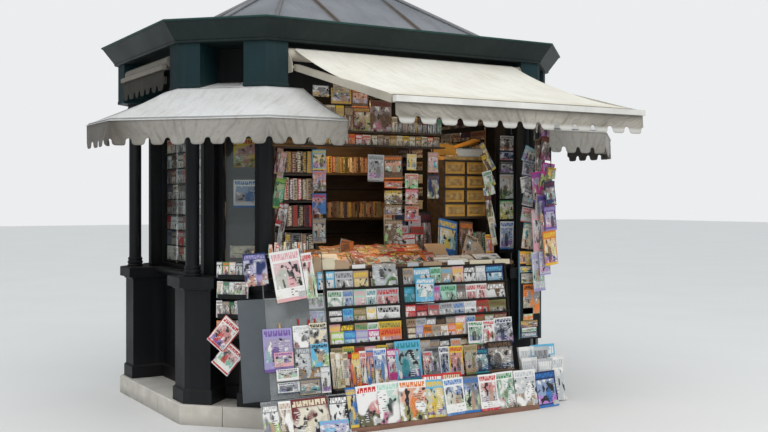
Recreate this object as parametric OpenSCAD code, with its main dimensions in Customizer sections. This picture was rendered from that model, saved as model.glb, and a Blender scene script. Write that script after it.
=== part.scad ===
// Street newspaper kiosk in painted metal on a stone plinth.
// The plan is a long octagon. Angle pedestals, turned columns and corner boxes stand in pairs at
// its four cut corners and carry a flared cornice with a hipped standing seam roof. A glazed
// enclosure stands back behind them. The front is an open counter under an extended awning, with
// a stepped magazine display before it, and fabric canopies hang round the two front corners.
// Millimetres, +Z up. The origin is the centre of the plan on the ground; the front faces -Y.

/* [Plan] */
// Width across the cornice, left to right
cornice_w = 3630; // [3300:10:4200]
// Depth across the cornice, front to back
cornice_d = 2680; // [2450:10:3200]
// Length that each corner cut takes off a side of the cornice
corner_cut = 550; // [480:10:620]
// Inset of the plinth's edge from the cornice line
plinth_inset = 143; // [110:1:170]
// Inset of the pedestals' faces from the cornice line
pedestal_inset = 188; // [180:1:210]
// Inset of the column centres from the cornice line
column_inset = 258; // [250:1:275]
// Inset of the corner boxes' faces from the cornice line
box_inset = 129; // [120:1:140]
// Inset of the enclosure walls from the cornice line
wall_inset = 450; // [430:1:480]

/* [Heights] */
// Height of the stone plinth
plinth_h = 142; // [100:1:200]
// Width of the bevel along the plinth's upper edge
plinth_bevel = 8; // [4:1:14]
// Height of the pedestal caps and window sills above the ground
sill_z = 1055; // [950:5:1150]
// Height of the underside of the corner boxes above the ground
box_z = 2405; // [2250:5:2450]
// Height of the corner boxes
box_h = 320; // [300:5:450]
// Height of the flared cornice
cornice_h = 155; // [100:1:180]
// Height of the ridge above the cornice top
ridge_rise = 540; // [450:5:700]

/* [Pedestals] */
// Length of each leg of a pedestal along its face
pedestal_leg = 200; // [170:1:215]
// Projection of the cap moulding
cap_out = 45; // [25:1:48]
// Height of the cap moulding
cap_h = 100; // [80:1:130]
// Projection of the base moulding
base_out = 14; // [8:1:25]
// Height of the base moulding
base_h = 108; // [80:1:140]

/* [Columns] */
// Shaft diameter
column_d = 100; // [80:1:110]
// Diameter of the widest ring at a column's foot and neck
column_ring_d = 126; // [114:1:136]
// Height of the turned foot and of the turned neck
column_turning_h = 78; // [70:1:110]

/* [Corner boxes] */
// Length of each leg of a corner box along its face
box_leg = 170; // [150:1:190]
// Height of the bevelled band at the foot of a box
box_band_h = 22; // [14:1:30]

/* [Enclosure] */
// Thickness of the dado walls
wall_t = 60; // [40:1:80]
// Projection of the posts in front of the walls
post_out = 90; // [70:1:100]
// Length of a post's leg along the long faces
post_leg = 60; // [50:1:90]
// Length of a post's leg along the cut corners
post_corner_leg = 80; // [70:1:115]
// Projection of the sill in front of the walls
sill_out = 100; // [60:1:115]
// Height of the sill moulding
sill_h = 70; // [50:1:90]
// Height of the dado's base moulding
dado_base_h = 108; // [80:1:140]
// Projection of the dado's base moulding
dado_base_out = 18; // [10:1:30]
// Face width of the window frames
frame_w = 32; // [28:1:60]
// Depth of the window frames
frame_t = 46; // [40:1:56]
// Thickness of the window glass
glass_t = 6; // [4:1:10]
// Thickness of the floor boards
floor_t = 20; // [15:1:40]
// Thickness of the frieze panels over the windows
frieze_t = 50; // [40:1:60]
// Number of lights side by side in the rear window
rear_lights = 3; // [2:1:4]

/* [Side door] */
// Width of the door leaf
door_w = 900; // [700:10:930]
// Thickness of the door leaf
door_t = 44; // [38:1:54]
// Face width of the door's stiles and rails
door_stile = 95; // [70:1:120]
// Height of the door's bottom rail
door_rail = 150; // [120:5:200]
// Depth that the door's lower panel is sunk
door_panel_sunk = 12; // [8:1:16]
// Diameter of the door knob
knob_d = 48; // [36:1:60]

/* [Cornice and roof] */
// Distance that the cornice leans out from its foot to its top
cornice_flare = 112; // [60:1:118]
// Thickness of the cornice boards
cornice_t = 24; // [16:1:40]
// Height of the bead along the foot of the cornice
bead_h = 14; // [8:1:20]
// Height of the rim along the top of the cornice
rim_h = 14; // [10:1:24]
// Width of the rim along the top of the cornice
rim_w = 40; // [34:1:60]
// Thickness of the soffit
soffit_t = 20; // [15:1:30]
// Length of the ridge
ridge_len = 950; // [700:10:1200]
// Depth below the cornice top at which the roof would meet the cornice line
eave_drop = 248; // [200:1:300]
// Thickness of the roof shell
roof_t = 40; // [30:1:60]
// Distance of the two seams from the middle of the front slope
seam_x = 375; // [250:5:450]
// Width of a standing seam
seam_w = 14; // [10:1:30]
// Height of a standing seam
seam_h = 18; // [12:1:40]
// Diameter of the hip rolls
hip_d = 28; // [20:1:50]
// Diameter of the ridge roll
ridge_d = 56; // [44:1:80]

/* [Front awning] */
// Reach of the front bar in front of the corner boxes
awning_reach = 1410; // [1000:10:1600]
// Height of the front bar's underside above the ground
awning_bar_z = 2190; // [2050:5:2300]
// Gap between each arm and the corner box beside it
arm_gap = 32; // [20:1:60]
// Height of the front bar
bar_h = 38; // [30:1:60]
// Depth of the front bar
bar_t = 40; // [30:1:60]
// Diameter of the roller with its rolled cloth
roller_d = 92; // [70:1:110]
// Side of the square arms
arm_s = 44; // [30:1:50]
// Sag of the cloth between the roller and the front bar
awning_sag = 40; // [10:5:60]
// Drop of the arms' upper ends below the corner boxes' tops
arm_drop = 180; // [170:5:240]
// Drop of the front valance
valance_h = 130; // [90:1:180]
// Number of scallops on the front valance
scallops = 13; // [9:1:17]

/* [Cloth] */
// Thickness of the awning cloth as a solid
cloth_t = 4; // [3:0.5:6]
// Width of the notch between two scallops
notch_w = 42; // [24:1:60]
// Height of the notch between two scallops
notch_h = 46; // [30:1:60]
// Radius of the scallops' lower corners
scallop_r = 26; // [12:1:30]

/* [Side awnings] */
// Projection of a side awning's bar in front of the corner boxes
side_awning_out = 43; // [20:1:60]
// Gap between a rolled side awning and the corner box at each end
side_awning_gap = 46; // [10:1:120]
// Height of the side bars' underside above the ground
side_bar_z = 2562; // [2520:1:2600]
// Drop of the side valances
side_valance_h = 150; // [100:1:160]
// Number of scallops on a side valance
side_scallops = 7; // [5:1:9]

/* [Corner canopies] */
// Overhang of the canopies' hems beyond the cornice line
canopy_out = 430; // [350:5:500]
// Height of the canopies' hems above the ground
canopy_hem_z = 2148; // [2050:5:2200]
// Length of a canopy's hem along a long face, beyond its corner
canopy_wrap = 575; // [520:5:680]
// Length that a canopy's head runs on beyond the corner boxes at its two ends
canopy_head_over = 120; // [0:5:150]
// Rise of a canopy's tongue between the boxes
tongue_rise = 70; // [40:5:150]
// Drop of the canopies' valances
canopy_valance_h = 174; // [110:1:180]
// Number of scallops over a cut corner
canopy_scallops = 8; // [6:1:10]
// Number of scallops at each end of a canopy
end_scallops = 4; // [3:1:6]
// Diameter of the canopies' tube frames
tube_d = 26; // [20:1:34]

/* [Counter and display] */
// Height of the counter top above the ground
counter_z = 1120; // [1095:5:1200]
// Thickness of the counter top
counter_t = 32; // [24:1:45]
// Depth of the counter top from front to back
counter_d = 590; // [500:10:650]
// Left end of the display rack, left of the middle
rack_left = 760; // [600:10:900]
// Right end of the display rack, right of the middle
rack_right = 880; // [600:10:940]
// Height of the display step above the ground
step_z = 270; // [220:5:320]
// Lean of the display rack in degrees
rack_lean = 8; // [4:0.5:14]
// Height of the lowest rail above the ground
rail_z = 557; // [500:1:600]
// Distance between two rails
rail_pitch = 133; // [120:1:150]
// Height of the second rail above its place in even spacing
rail_lift = 25; // [0:1:30]
// Height of a rail
rail_h = 12; // [8:1:30]
// Thickness of the base board on the ground
board_t = 35; // [25:1:50]
// Depth of the base board in front of the plinth
board_d = 430; // [380:10:500]

/* [Shelves] */
// Thickness of the shelf boards
shelf_t = 20; // [16:1:26]
// Depth of the rear shelves
shelf_d = 260; // [200:10:320]
// Number of spaces in the rear shelves
shelf_rows = 5; // [3:1:6]
// Width of the box shelf at the counter's right end
box_shelf_w = 450; // [380:10:480]
// Depth of the shelves at the counter's ends
end_shelf_d = 250; // [200:10:300]
// Height of the low space under the rows of the box shelf
box_base_h = 350; // [300:10:400]
// Height of one row of the box shelf
box_row_h = 117; // [100:1:125]
// Number of rows in the box shelf
box_rows = 4; // [3:1:4]
// Width of the book shelf at the counter's left end
book_shelf_w = 365; // [300:5:400]
// Height of the low space of the book shelf
book_base_h = 280; // [240:10:300]
// Height of one row of the book shelf
book_row_h = 203; // [180:1:210]
// Number of rows in the book shelf over its low space
book_rows = 3; // [2:1:3]
// Thickness of the boards of the shelves at the counter's ends
end_shelf_t = 16; // [12:1:20]
// Length of the overhead shelves
overhead_w = 1250; // [1000:10:1300]
// Depth of the overhead shelves
overhead_d = 110; // [80:5:140]
// Distance of the middle of the overhead shelves left of the middle of the front
overhead_left = 150; // [0:10:180]
// Depth of the lower overhead shelf below the corner boxes
overhead_drop = 385; // [320:5:400]
// Distance between the two overhead shelves
overhead_pitch = 105; // [90:5:130]
// Thickness of the overhead shelves and their hangers
overhead_t = 12; // [10:1:18]

/* [Stands] */
// Diameter of the wire of the stands and racks
wire_d = 8; // [6:1:12]
// Height of the wire stand
stand_h = 1240; // [1000:10:1400]
// Width of the wire stand
stand_w = 470; // [400:10:560]
// Distance of the stand's foot in front of the cornice line
stand_out = 90; // [60:5:150]
// Length of the stand's feet
stand_foot = 190; // [150:10:260]
// Lean of the wire stand in degrees
stand_lean = 9; // [4:0.5:12]
// Thickness of the clear sheets
sheet_t = 5; // [4:0.5:8]
// Height of the clear sheets' lower edge along the stand
sheet_z = 240; // [200:10:300]
// Height of the clear sheets
sheet_h = 690; // [500:10:800]
// Width of the grey sheet beside the stand
side_sheet_w = 230; // [180:5:280]
// Width of the low easel
easel_w = 640; // [500:10:700]
// Height of the low easel
easel_h = 280; // [220:10:320]
// Depth of the easel's tray
easel_d = 170; // [140:5:200]
// Height of the lip along the easel's tray
easel_lip = 50; // [30:5:60]
// Distance between the easel's lip and its board
easel_slot = 60; // [40:5:70]
// Lean of the easel's board in degrees
easel_lean = 19; // [10:1:25]
// Distance of the easel's lip in front of the stand's foot
easel_out = 330; // [300:10:400]
// Width of the corner wire rack
corner_rack_w = 215; // [180:5:240]
// Height of the corner wire rack
corner_rack_h = 690; // [600:10:750]
// Height of the corner wire rack's top above the sills
corner_rack_rise = 135; // [100:5:180]
// Distance of the corner wire rack's middle right of the middle of the cut corner
corner_rack_shift = 100; // [0:5:105]
// Depth of the corner wire rack's ledges
ledge_d = 60; // [45:5:80]
// Number of ledges on the corner wire rack
ledges = 5; // [4:1:6]

/* [Hidden] */

$fn = 48;
slope_k = tan(22.5);
slope_c = cos(22.5);
box_top_z = box_z + box_h;
cornice_top_z = box_top_z + cornice_h;
ridge_z = cornice_top_z + ridge_rise;
eave_z = cornice_top_z - eave_drop;
roof_foot_z = box_top_z + soffit_t;
pedestal_depth = wall_inset - pedestal_inset;
wall_inner = wall_inset + wall_t;
counter_front_t = 40;
counter_front_inset = pedestal_inset + 12;
seat_gap = 0.3;

// Corners of the plan, inset from the cornice line, going round from the left side's rear end
function plan(inset) = let (
    k = inset * slope_k,
    x = cornice_w / 2 - inset,
    y = cornice_d / 2 - inset,
    xc = cornice_w / 2 - corner_cut - k,
    yc = cornice_d / 2 - corner_cut - k
) [[-x, yc], [-x, -yc], [-xc, -y], [xc, -y], [x, -yc], [x, yc], [xc, y], [-xc, y]];
// Length of one side of the plan; the odd sides are the cut corners
function side_len(i, inset) = norm(plan(inset)[(i + 1) % 8] - plan(inset)[i]);
// Middle of one side of the plan
function side_mid(i, inset) = (plan(inset)[(i + 1) % 8] + plan(inset)[i]) / 2;
// Point at a height
function at(p, z) = [p.x, p.y, z];
// The plan's corners at a height
function plan_ring(inset, z) = [for (p = plan(inset)) at(p, z)];
// Half of the clear width between the front pedestals
front_gap = side_len(2, pedestal_inset) / 2 - pedestal_leg;
front_wall_y = -cornice_d / 2 + counter_front_inset;
plinth_front_y = -cornice_d / 2 + plinth_inset;

// Puts its children on a side of the plan: +X along it, +Y inwards
module on_side(i, inset) {
    translate(at(side_mid(i, inset), 0))
        rotate(270 + 45 * i)
        children();
}
// Puts its children on a corner of the plan: +X outwards along the bisector
module on_corner(i, inset) {
    translate(at(plan(inset)[i], 0))
        rotate(157.5 + 45 * i)
        children();
}
// Round bar from p to q
module rod(p, q, d, sides = 16) {
    v = q - p;
    translate(p)
        rotate([0, acos(v.z / norm(v)), atan2(v.y, v.x)])
        cylinder(h = norm(v), d = d, $fn = sides);
}
// Square bar from p to q, level across its width
module square_bar(p, q, s) {
    v = q - p;
    translate(p)
        rotate([0, acos(v.z / norm(v)), atan2(v.y, v.x)])
        translate([-s / 2, -s / 2, 0])
        cube([s, s, norm(v)]);
}
// Plan outline of an angle pier round a corner, grown by out on every open face
function pier_ring(leg_a, leg_b, depth, out, z) = let (
    na = [slope_c, sin(22.5)],
    ta = [-sin(22.5), slope_c],
    nb = [na.x, -na.y],
    tb = [ta.x, -ta.y]
) [
    [out / slope_c, 0, z],
    at((leg_a + out) * ta + out * na, z),
    at((leg_a + out) * ta - depth * na, z),
    [-depth / slope_c, 0, z],
    at((leg_b + out) * tb - depth * nb, z),
    at((leg_b + out) * tb + out * nb, z)
];
// Solid through rings of points, one above the other, each anticlockwise seen from above
module ring_stack(rings) {
    n = len(rings[0]);
    m = len(rings);
    polyhedron(
        points = [for (r = rings) for (p = r) p],
        faces = concat(
            [[for (j = [0 : n - 1]) j]],
            [for (i = [0 : m - 2]) for (j = [0 : n - 1])
                [i * n + j, (i + 1) * n + j, (i + 1) * n + (j + 1) % n, i * n + (j + 1) % n]],
            [[for (j = [n - 1 : -1 : 0]) (m - 1) * n + j]]
        ));
}
// Angle pier with a moulded profile of [height, projection] points
module pier(leg_a, leg_b, depth, profile) {
    ring_stack([for (s = profile) pier_ring(leg_a, leg_b, depth, s[1], s[0])]);
}

// Stone base of the whole kiosk, one mass of masonry with joints cut in its edge
joint_w = 5;
joint_deep = 12;
joint_spacing = 620;
module stone_plinth() {
    color("#b9b3a6")
    difference() {
        ring_stack([
            plan_ring(plinth_inset, 0),
            plan_ring(plinth_inset, plinth_h - plinth_bevel),
            plan_ring(plinth_inset + plinth_bevel, plinth_h)
        ]);
        for (i = [0 : 7]) {
            length = side_len(i, plinth_inset);
            count = floor(length / joint_spacing);
            on_side(i, plinth_inset)
                for (j = [1 : 1 : count])
                    translate([-length / 2 + length * j / (count + 1) - joint_w / 2, -1, -1])
                    cube([joint_w, joint_deep + 1, plinth_h + 2]);
        }
    }
}

// Boards inside the enclosure, reaching forward to the counter front
module floor_boards() {
    color("#6b5442")
    translate([0, 0, plinth_h])
        linear_extrude(floor_t)
        union() {
            polygon(plan(wall_inner + seat_gap));
            translate([-front_gap + 1, front_wall_y + counter_front_t + seat_gap])
                square([2 * front_gap - 2, cornice_d / 2 - counter_front_inset - counter_front_t]);
        }
}

// Angle pedestals with a base moulding and a cap, two at each cut corner
pedestal_profile = [
    [plinth_h, base_out],
    [plinth_h + base_h - 14, base_out],
    [plinth_h + base_h, 0],
    [sill_z - cap_h, 0],
    [sill_z - cap_h + 6, 12],
    [sill_z - cap_h + 16, 14],
    [sill_z - cap_h + 22, cap_out],
    [sill_z - 6, cap_out],
    [sill_z, cap_out - 6]
];
module pedestals(first) {
    color("#10161d")
    for (i = [first : first + 3])
        on_corner(i % 8, pedestal_inset)
        pier(pedestal_leg, pedestal_leg, pedestal_depth, pedestal_profile);
}

// Free-standing round columns with a turned foot and a turned neck
module turning(z, up) {
    r = column_d / 2;
    rr = column_ring_d / 2;
    h = column_turning_h;
    translate([0, 0, z])
        mirror([0, 0, up ? 0 : 1])
        rotate_extrude()
        polygon([[0, 0], [rr, 0], [rr, h * 0.16], [rr - 5, h * 0.2], [rr - 5, h * 0.3],
            [rr, h * 0.36], [rr, h * 0.5], [rr - 6, h * 0.58], [rr - 7, h * 0.7],
            [rr - 3, h * 0.76], [rr - 3, h * 0.86], [r, h], [0, h]]);
}
module columns() {
    color("#10161d")
    for (i = [0 : 7])
        on_corner(i, column_inset) {
            translate([0, 0, sill_z])
                cylinder(h = box_z - sill_z, d = column_d);
            turning(sill_z, true);
            turning(box_z, false);
        }
}

// Sheet metal boxes over the columns, two at each cut corner
box_band_out = 4;
box_profile = [
    [box_z, 0],
    [box_z + box_band_out, box_band_out],
    [box_z + box_band_h, box_band_out],
    [box_z + box_band_h + box_band_out, 0],
    [box_top_z, 0]
];
module corner_boxes() {
    color("#14393f")
    for (i = [0 : 7])
        on_corner(i, box_inset)
        pier(box_leg, box_leg, wall_inset - box_inset, box_profile);
}

// Low wall on one side of the enclosure with its sill and base moulding between the pedestals
module dado(i) {
    // Clear length between the mouldings of the two pedestals
    clear = side_len(i, pedestal_inset) - 2 * pedestal_leg;
    a = plan(wall_inset);
    b = plan(wall_inner);
    j = (i + 1) % 8;
    translate([0, 0, plinth_h])
        linear_extrude(sill_z - plinth_h)
        polygon([a[i], a[j], b[j], b[i]]);
    on_side(i, wall_inset) {
        sill_clear = clear - 2 * cap_out;
        translate([-sill_clear / 2, 0, 0])
            rotate([90, 0, 90])
            linear_extrude(sill_clear)
            polygon([[0.5, sill_z - sill_h], [-8, sill_z - sill_h], [-sill_out + 10, sill_z - 26],
                [-sill_out, sill_z - 22], [-sill_out, sill_z - 4], [-sill_out + 4, sill_z],
                [0.5, sill_z]]);
        base_clear = clear - 2 * base_out;
        translate([-base_clear / 2, 0, 0])
            rotate([90, 0, 90])
            linear_extrude(base_clear)
            polygon([[0.5, plinth_h], [-dado_base_out, plinth_h],
                [-dado_base_out, plinth_h + dado_base_h - 12], [-4, plinth_h + dado_base_h],
                [0.5, plinth_h + dado_base_h]]);
    }
}
module wall_dados() {
    color("#0d1116")
    for (i = [0, 6])
        dado(i);
}
module corner_dados() {
    color("#0d1116")
    for (i = [1, 3, 5, 7])
        dado(i);
}

// Panel under the counter, between the two front pedestals
module counter_front() {
    color("#0d1116")
    translate([-front_gap + 1, front_wall_y, plinth_h])
        cube([2 * front_gap - 2, counter_front_t, counter_z - counter_t - plinth_h]);
}
// Counter top with a rounded front edge
module counter_top() {
    color("#3a2c22")
    translate([-front_gap + 1, front_wall_y - counter_lip, counter_z - counter_t])
        rotate([90, 0, 90])
        linear_extrude(2 * front_gap - 2)
        polygon([[6, 0], [counter_d, 0], [counter_d, counter_t], [6, counter_t],
            [0, counter_t - 6], [0, 6]]);
}
counter_lip = 42;

// Posts at the eight corners of the enclosure, from the dado to the frieze
module enclosure_posts() {
    color("#0b0e12")
    for (i = [0 : 7]) {
        odd = i % 2 == 1;
        on_corner(i, wall_inset - post_out)
            pier(odd ? post_corner_leg : post_leg, odd ? post_leg : post_corner_leg,
                post_out + frame_t, [[sill_z, 0], [box_z, 0]]);
    }
}

// Clear length between two posts on a side of the enclosure
function bay_len(i) = side_len(i, wall_inset - post_out)
    - 2 * (i % 2 == 1 ? post_corner_leg : post_leg);
// Lights in the window on a side of the enclosure, and the width of one
function lights(i) = i == 6 ? rear_lights : 1;
function light_w(i) = (bay_len(i) - (lights(i) + 1) * frame_w) / lights(i);
// Puts its children at the lower left corner of each light of a window
module at_lights(i) {
    on_side(i, wall_inset)
        for (j = [0 : lights(i) - 1])
            translate([-bay_len(i) / 2 + frame_w + j * (light_w(i) + frame_w), 0, sill_z + frame_w])
            children();
}
// Window frame that fills a bay between two posts, from the sill to the frieze
module window_frame(i) {
    difference() {
        on_side(i, wall_inset)
            translate([-bay_len(i) / 2, 0, sill_z])
            cube([bay_len(i), frame_t, box_z - sill_z]);
        at_lights(i)
            translate([0, -1, 0])
            cube([light_w(i), frame_t + 2, box_z - sill_z - 2 * frame_w]);
    }
}
// Panes in the middle of a frame's depth
module window_panes(i) {
    at_lights(i)
        translate([0, frame_t / 2 - glass_t / 2, 0])
        cube([light_w(i), glass_t, box_z - sill_z - 2 * frame_w]);
}
module wall_window_frames() {
    color("#0b0e12")
    for (i = [0, 6])
        window_frame(i);
}
module corner_window_frames() {
    color("#0b0e12")
    for (i = [1, 3, 5, 7])
        window_frame(i);
}
module window_glass() {
    color("#9fb4b8", 0.4)
    for (i = [0, 1, 3, 5, 6, 7])
        window_panes(i);
}

// Door in the right side: a panel up to the sill line, glass above, and its two jambs
door_z = plinth_h + floor_t + seat_gap;
door_top = box_z - 4;
door_gap = 3;
door_back = 8;
door_pane_w = door_w - 2 * door_stile;
door_pane_h = door_top - door_stile - sill_z;
module side_door() {
    w = bay_len(4);
    jamb = (w - door_w) / 2;
    color("#0b0e12")
    on_side(4, wall_inset) {
        for (s = [-1, 1])
            translate([s < 0 ? -w / 2 : w / 2 - jamb + door_gap, 0, plinth_h])
            cube([jamb - door_gap, wall_t, box_z - plinth_h]);
        translate([-w / 2, 0, plinth_h])
            cube([w, wall_t, floor_t]);
        for (z = [door_z + 180, (door_z + door_top) / 2, door_top - 270])
            translate([-door_w / 2 - door_gap / 2, door_back / 2, z])
            cylinder(h = 90, d = 18);
        translate([-door_w / 2, door_back, door_z])
            difference() {
                cube([door_w, door_t, door_top - door_z]);
                translate([door_stile, -1, sill_z - door_z])
                    cube([door_pane_w, door_t + 2, door_pane_h]);
                translate([door_stile, -1, door_rail])
                    cube([door_pane_w, door_panel_sunk + 1, sill_z - door_z - door_stile - door_rail]);
            }
        translate([door_w / 2 - door_stile / 2, door_back + 1, sill_z - door_stile / 2])
            rotate([90, 0, 0])
            door_knob();
    }
}
// Turned knob on a short neck
module door_knob() {
    r = knob_d / 2;
    rotate_extrude()
        polygon([[0, 0], [r * 0.6, 0], [r * 0.5, 4], [r * 0.34, 8], [r * 0.34, r],
            [r * 0.9, r * 1.4], [r, r * 1.9], [r * 0.7, r * 2.35], [0, r * 2.5]]);
}
module side_door_glass() {
    color("#9fb4b8", 0.4)
    on_side(4, wall_inset)
        translate([-door_pane_w / 2, door_back + door_t / 2 - glass_t / 2, sill_z])
        cube([door_pane_w, glass_t, door_pane_h]);
}

// Panels between the enclosure posts and the cornice, one ring round the enclosure
module frieze_panels() {
    color("#0d1116")
    translate([0, 0, box_z])
        linear_extrude(box_h)
        difference() {
            polygon(plan(wall_inset));
            polygon(plan(wall_inset + frieze_t));
        }
}

// Ceiling and soffit in one sheet, inside the cornice
module soffit() {
    color("#14181b")
    translate([0, 0, box_top_z])
        linear_extrude(soffit_t)
        polygon(plan(cornice_flare + cornice_t));
}

// Flared cornice of eight boards mitred at the corners, with a bead along its foot.
// plan_frame is a hollow ring with the cross section given as [inset, height] points, going round once
module plan_frame(section) {
    n = len(section);
    polyhedron(
        points = [for (s = section) for (p = plan_ring(s[0], s[1])) p],
        faces = [for (i = [0 : n - 1]) for (j = [0 : 7])
            [i * 8 + j, ((i + 1) % n) * 8 + j, ((i + 1) % n) * 8 + (j + 1) % 8,
                i * 8 + (j + 1) % 8]]);
}
module cornice() {
    top = cornice_top_z - rim_h;
    lean = cornice_flare * (cornice_h - rim_h) / cornice_h;
    bead_out = 6;
    bead_lean = cornice_flare * bead_h / cornice_h;
    color("#101c1a")
    plan_frame([
        [cornice_flare - bead_out, box_top_z],
        [cornice_flare - bead_out - bead_lean, box_top_z + bead_h],
        [cornice_flare - bead_lean, box_top_z + bead_h],
        [cornice_flare - lean, top],
        [cornice_flare - lean + cornice_t, top],
        [cornice_flare + cornice_t, box_top_z]
    ]);
}
module cornice_rim() {
    color("#1f4a45")
    plan_frame([
        [4, cornice_top_z - rim_h],
        [0, cornice_top_z - rim_h + 4],
        [0, cornice_top_z - 4],
        [4, cornice_top_z],
        [rim_w, cornice_top_z],
        [rim_w, cornice_top_z - rim_h]
    ]);
}

// Point of a hip: the hips run from the corners of the cornice line to the ridge's ends
function ridge_end(i) = [(i < 3 || i == 7 ? -1 : 1) * ridge_len / 2, 0, ridge_z];
function hip_foot(i) = at(plan(0)[i], eave_z);
function hip_at(i, z) = let (
    t = (z - eave_z) / (ridge_z - eave_z)
) hip_foot(i) + t * (ridge_end(i) - hip_foot(i));
// Shell of one slope: its foot stands level on the soffit and its thickness is measured upright
module slope(corners, ends) {
    n = len(corners) + len(ends);
    top = concat([for (c = corners) hip_at(c, roof_foot_z)], [for (c = ends) ridge_end(c)]);
    down = concat([for (c = corners) at(hip_at(c, roof_foot_z + roof_t), roof_foot_z)],
        [for (c = ends) ridge_end(c) - [0, 0, roof_t]]);
    ring_stack([down, top]);
}
// Standing seam up the middle slopes at x, from the foot to the ridge
module seam(x, side) {
    foot = hip_at(2, roof_foot_z);
    rise = atan2(ridge_z - roof_foot_z, -foot.y);
    length = norm([ridge_z - roof_foot_z, foot.y]);
    mirror([0, side > 0 ? 1 : 0, 0])
        translate([x - seam_w / 2, foot.y, roof_foot_z])
        rotate([rise, 0, 0])
        translate([0, 8, -6])
        cube([seam_w, length - 8 - ridge_d / 2, seam_h + 6]);
}
module front_roof_slope() {
    color("#b6bcc2") {
        slope([2, 3], [3, 2]);
        for (x = [-seam_x, seam_x])
            seam(x, -1);
    }
}
module rear_roof_slope() {
    color("#b6bcc2") {
        slope([6, 7], [7, 6]);
        for (x = [-seam_x, seam_x])
            seam(x, 1);
    }
}
module end_roof_slopes() {
    color("#b6bcc2")
    for (i = [7, 0, 1, 3, 4, 5])
        slope([i, (i + 1) % 8], [i == 7 ? 0 : i < 2 ? 0 : 4]);
}
// Rolls that cover the eight hips, and the ridge roll between their upper ends
module roof_rolls() {
    lift = [0, 0, hip_d / 2 + 3];
    color("#a9aeb4") {
        for (i = [0 : 7])
            rod(hip_at(i, roof_foot_z + 12) + lift, ridge_end(i) + lift, hip_d, 12);
        for (s = [-1, 1])
            translate([s * ridge_len / 2, 0, ridge_z + ridge_d / 2])
            sphere(d = ridge_d + 6);
        translate([-ridge_len / 2, 0, ridge_z + ridge_d / 2])
            rotate([0, 90, 0])
            cylinder(h = ridge_len, d = ridge_d);
    }
}

// Front awning: roller between the front corner boxes, arms, front bar, cloth and valance
box_front_y = -cornice_d / 2 + box_inset;
box_inner_x = side_len(2, box_inset) / 2 - box_leg;
roller_y = box_front_y + roller_d / 2 + 6;
roller_z = box_top_z - roller_d / 2 - 34;
roller_w = 2 * box_inner_x - 24;
bar_y = box_front_y - awning_reach;
arm_z = box_top_z - arm_drop;
awning_w = 2 * (box_inner_x - arm_gap);
arm_x = awning_w / 2 - arm_s / 2;
plate_t = 6;
plate_edge = 40;
pin_d = 24;
module awning_roller() {
    stub = (2 * (box_inner_x - plate_t - seat_gap) - roller_w) / 2;
    color("#d8d3c6") {
        translate([-roller_w / 2, roller_y, roller_z])
            rotate([0, 90, 0])
            cylinder(h = roller_w, d = roller_d);
        for (x = [-roller_w / 2 - stub, roller_w / 2])
            translate([x, roller_y, roller_z])
            rotate([0, 90, 0])
            cylinder(h = stub, d = roller_d / 2);
    }
}
// Straight square arms, each on a pin in a plate on the inner side of its corner box
module awning_arms() {
    p = [0, box_front_y - arm_s / 2, arm_z];
    q = [0, bar_y + bar_t + arm_s / 2 + 1, awning_bar_z + bar_h / 2];
    color("#cfc6b2")
    for (s = [0, 1])
        mirror([s, 0, 0]) {
            translate([arm_x, 0, 0])
                square_bar(p, q, arm_s);
            translate([arm_x, p.y, p.z])
                rotate([0, 90, 0])
                cylinder(h = box_inner_x - plate_t / 2 - arm_x, d = pin_d);
            translate([box_inner_x - plate_t, 0, 0])
                rotate([90, 0, 90])
                linear_extrude(plate_t)
                polygon([[p.y - plate_edge, p.z - plate_edge], [p.y - plate_edge, p.z + arm_s / 2],
                    [roller_y - roller_d / 3, roller_z + roller_d / 2],
                    [roller_y + roller_d / 2, roller_z + roller_d / 2],
                    [roller_y + roller_d / 2, p.z - plate_edge]]);
        }
}
module awning_front_bar() {
    color("#eceae4")
    translate([-awning_w / 2, bar_y, awning_bar_z])
        cube([awning_w, bar_t, bar_h]);
}
// Cloth from the top of the roller to the front bar
cloth_w = awning_w - 2 * arm_s - 16;
module awning_cloth() {
    low = [bar_y + bar_t, awning_bar_z + bar_h - cloth_t - 4];
    centre = [roller_y, roller_z];
    // The cloth leaves the roller along a tangent and sags on its way to the bar
    reach = low - [0, 4 * awning_sag] - centre;
    turn = atan2(reach.y, reach.x) - acos((roller_d / 2 + seat_gap) / norm(reach));
    high = centre + (roller_d / 2 + seat_gap) * [cos(turn), sin(turn)];
    steps = 12;
    under = [for (k = [0 : steps])
        high + (low - high) * k / steps - [0, 4 * awning_sag * k / steps * (1 - k / steps)]];
    color("#e4e0d2")
    translate([-cloth_w / 2, 0, 0])
        rotate([90, 0, 90])
        linear_extrude(cloth_w)
        polygon(concat(under, [for (k = [steps : -1 : 0]) under[k] + [0, cloth_t]]));
}
// Outline of a valance with scallops along its lower edge, hanging down from zero
arc_steps = 4;
function arc(cx, cy, r, a0, a1) = [for (s = [0 : arc_steps])
    [cx + r * cos(a0 + (a1 - a0) * s / arc_steps), cy + r * sin(a0 + (a1 - a0) * s / arc_steps)]];
function lobe(u, pitch, h) = let (
    a = notch_w / 2,
    z = -h
) concat(
    arc(u + a + scallop_r, z + scallop_r, scallop_r, 180, 270),
    arc(u + pitch - a - scallop_r, z + scallop_r, scallop_r, 270, 360),
    arc(u + pitch, z + notch_h - a, a, 180, 90)
);
function opening_arc(u, h) = arc(u, -h + notch_h - notch_w / 2, notch_w / 2, 90, 0);
function valance_outline(length, count, h) = let (
    pitch = length / count
) concat(
    [[0, 0]],
    [for (k = [0 : count - 1]) for (p = concat(opening_arc(k * pitch, h), lobe(k * pitch, pitch, h)))
        p],
    [[length, 0]]
);
module valance(length, count, h) {
    translate([-length / 2, cloth_t, 0])
        rotate([90, 0, 0])
        linear_extrude(cloth_t)
        polygon(valance_outline(length, count, h));
}
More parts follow.
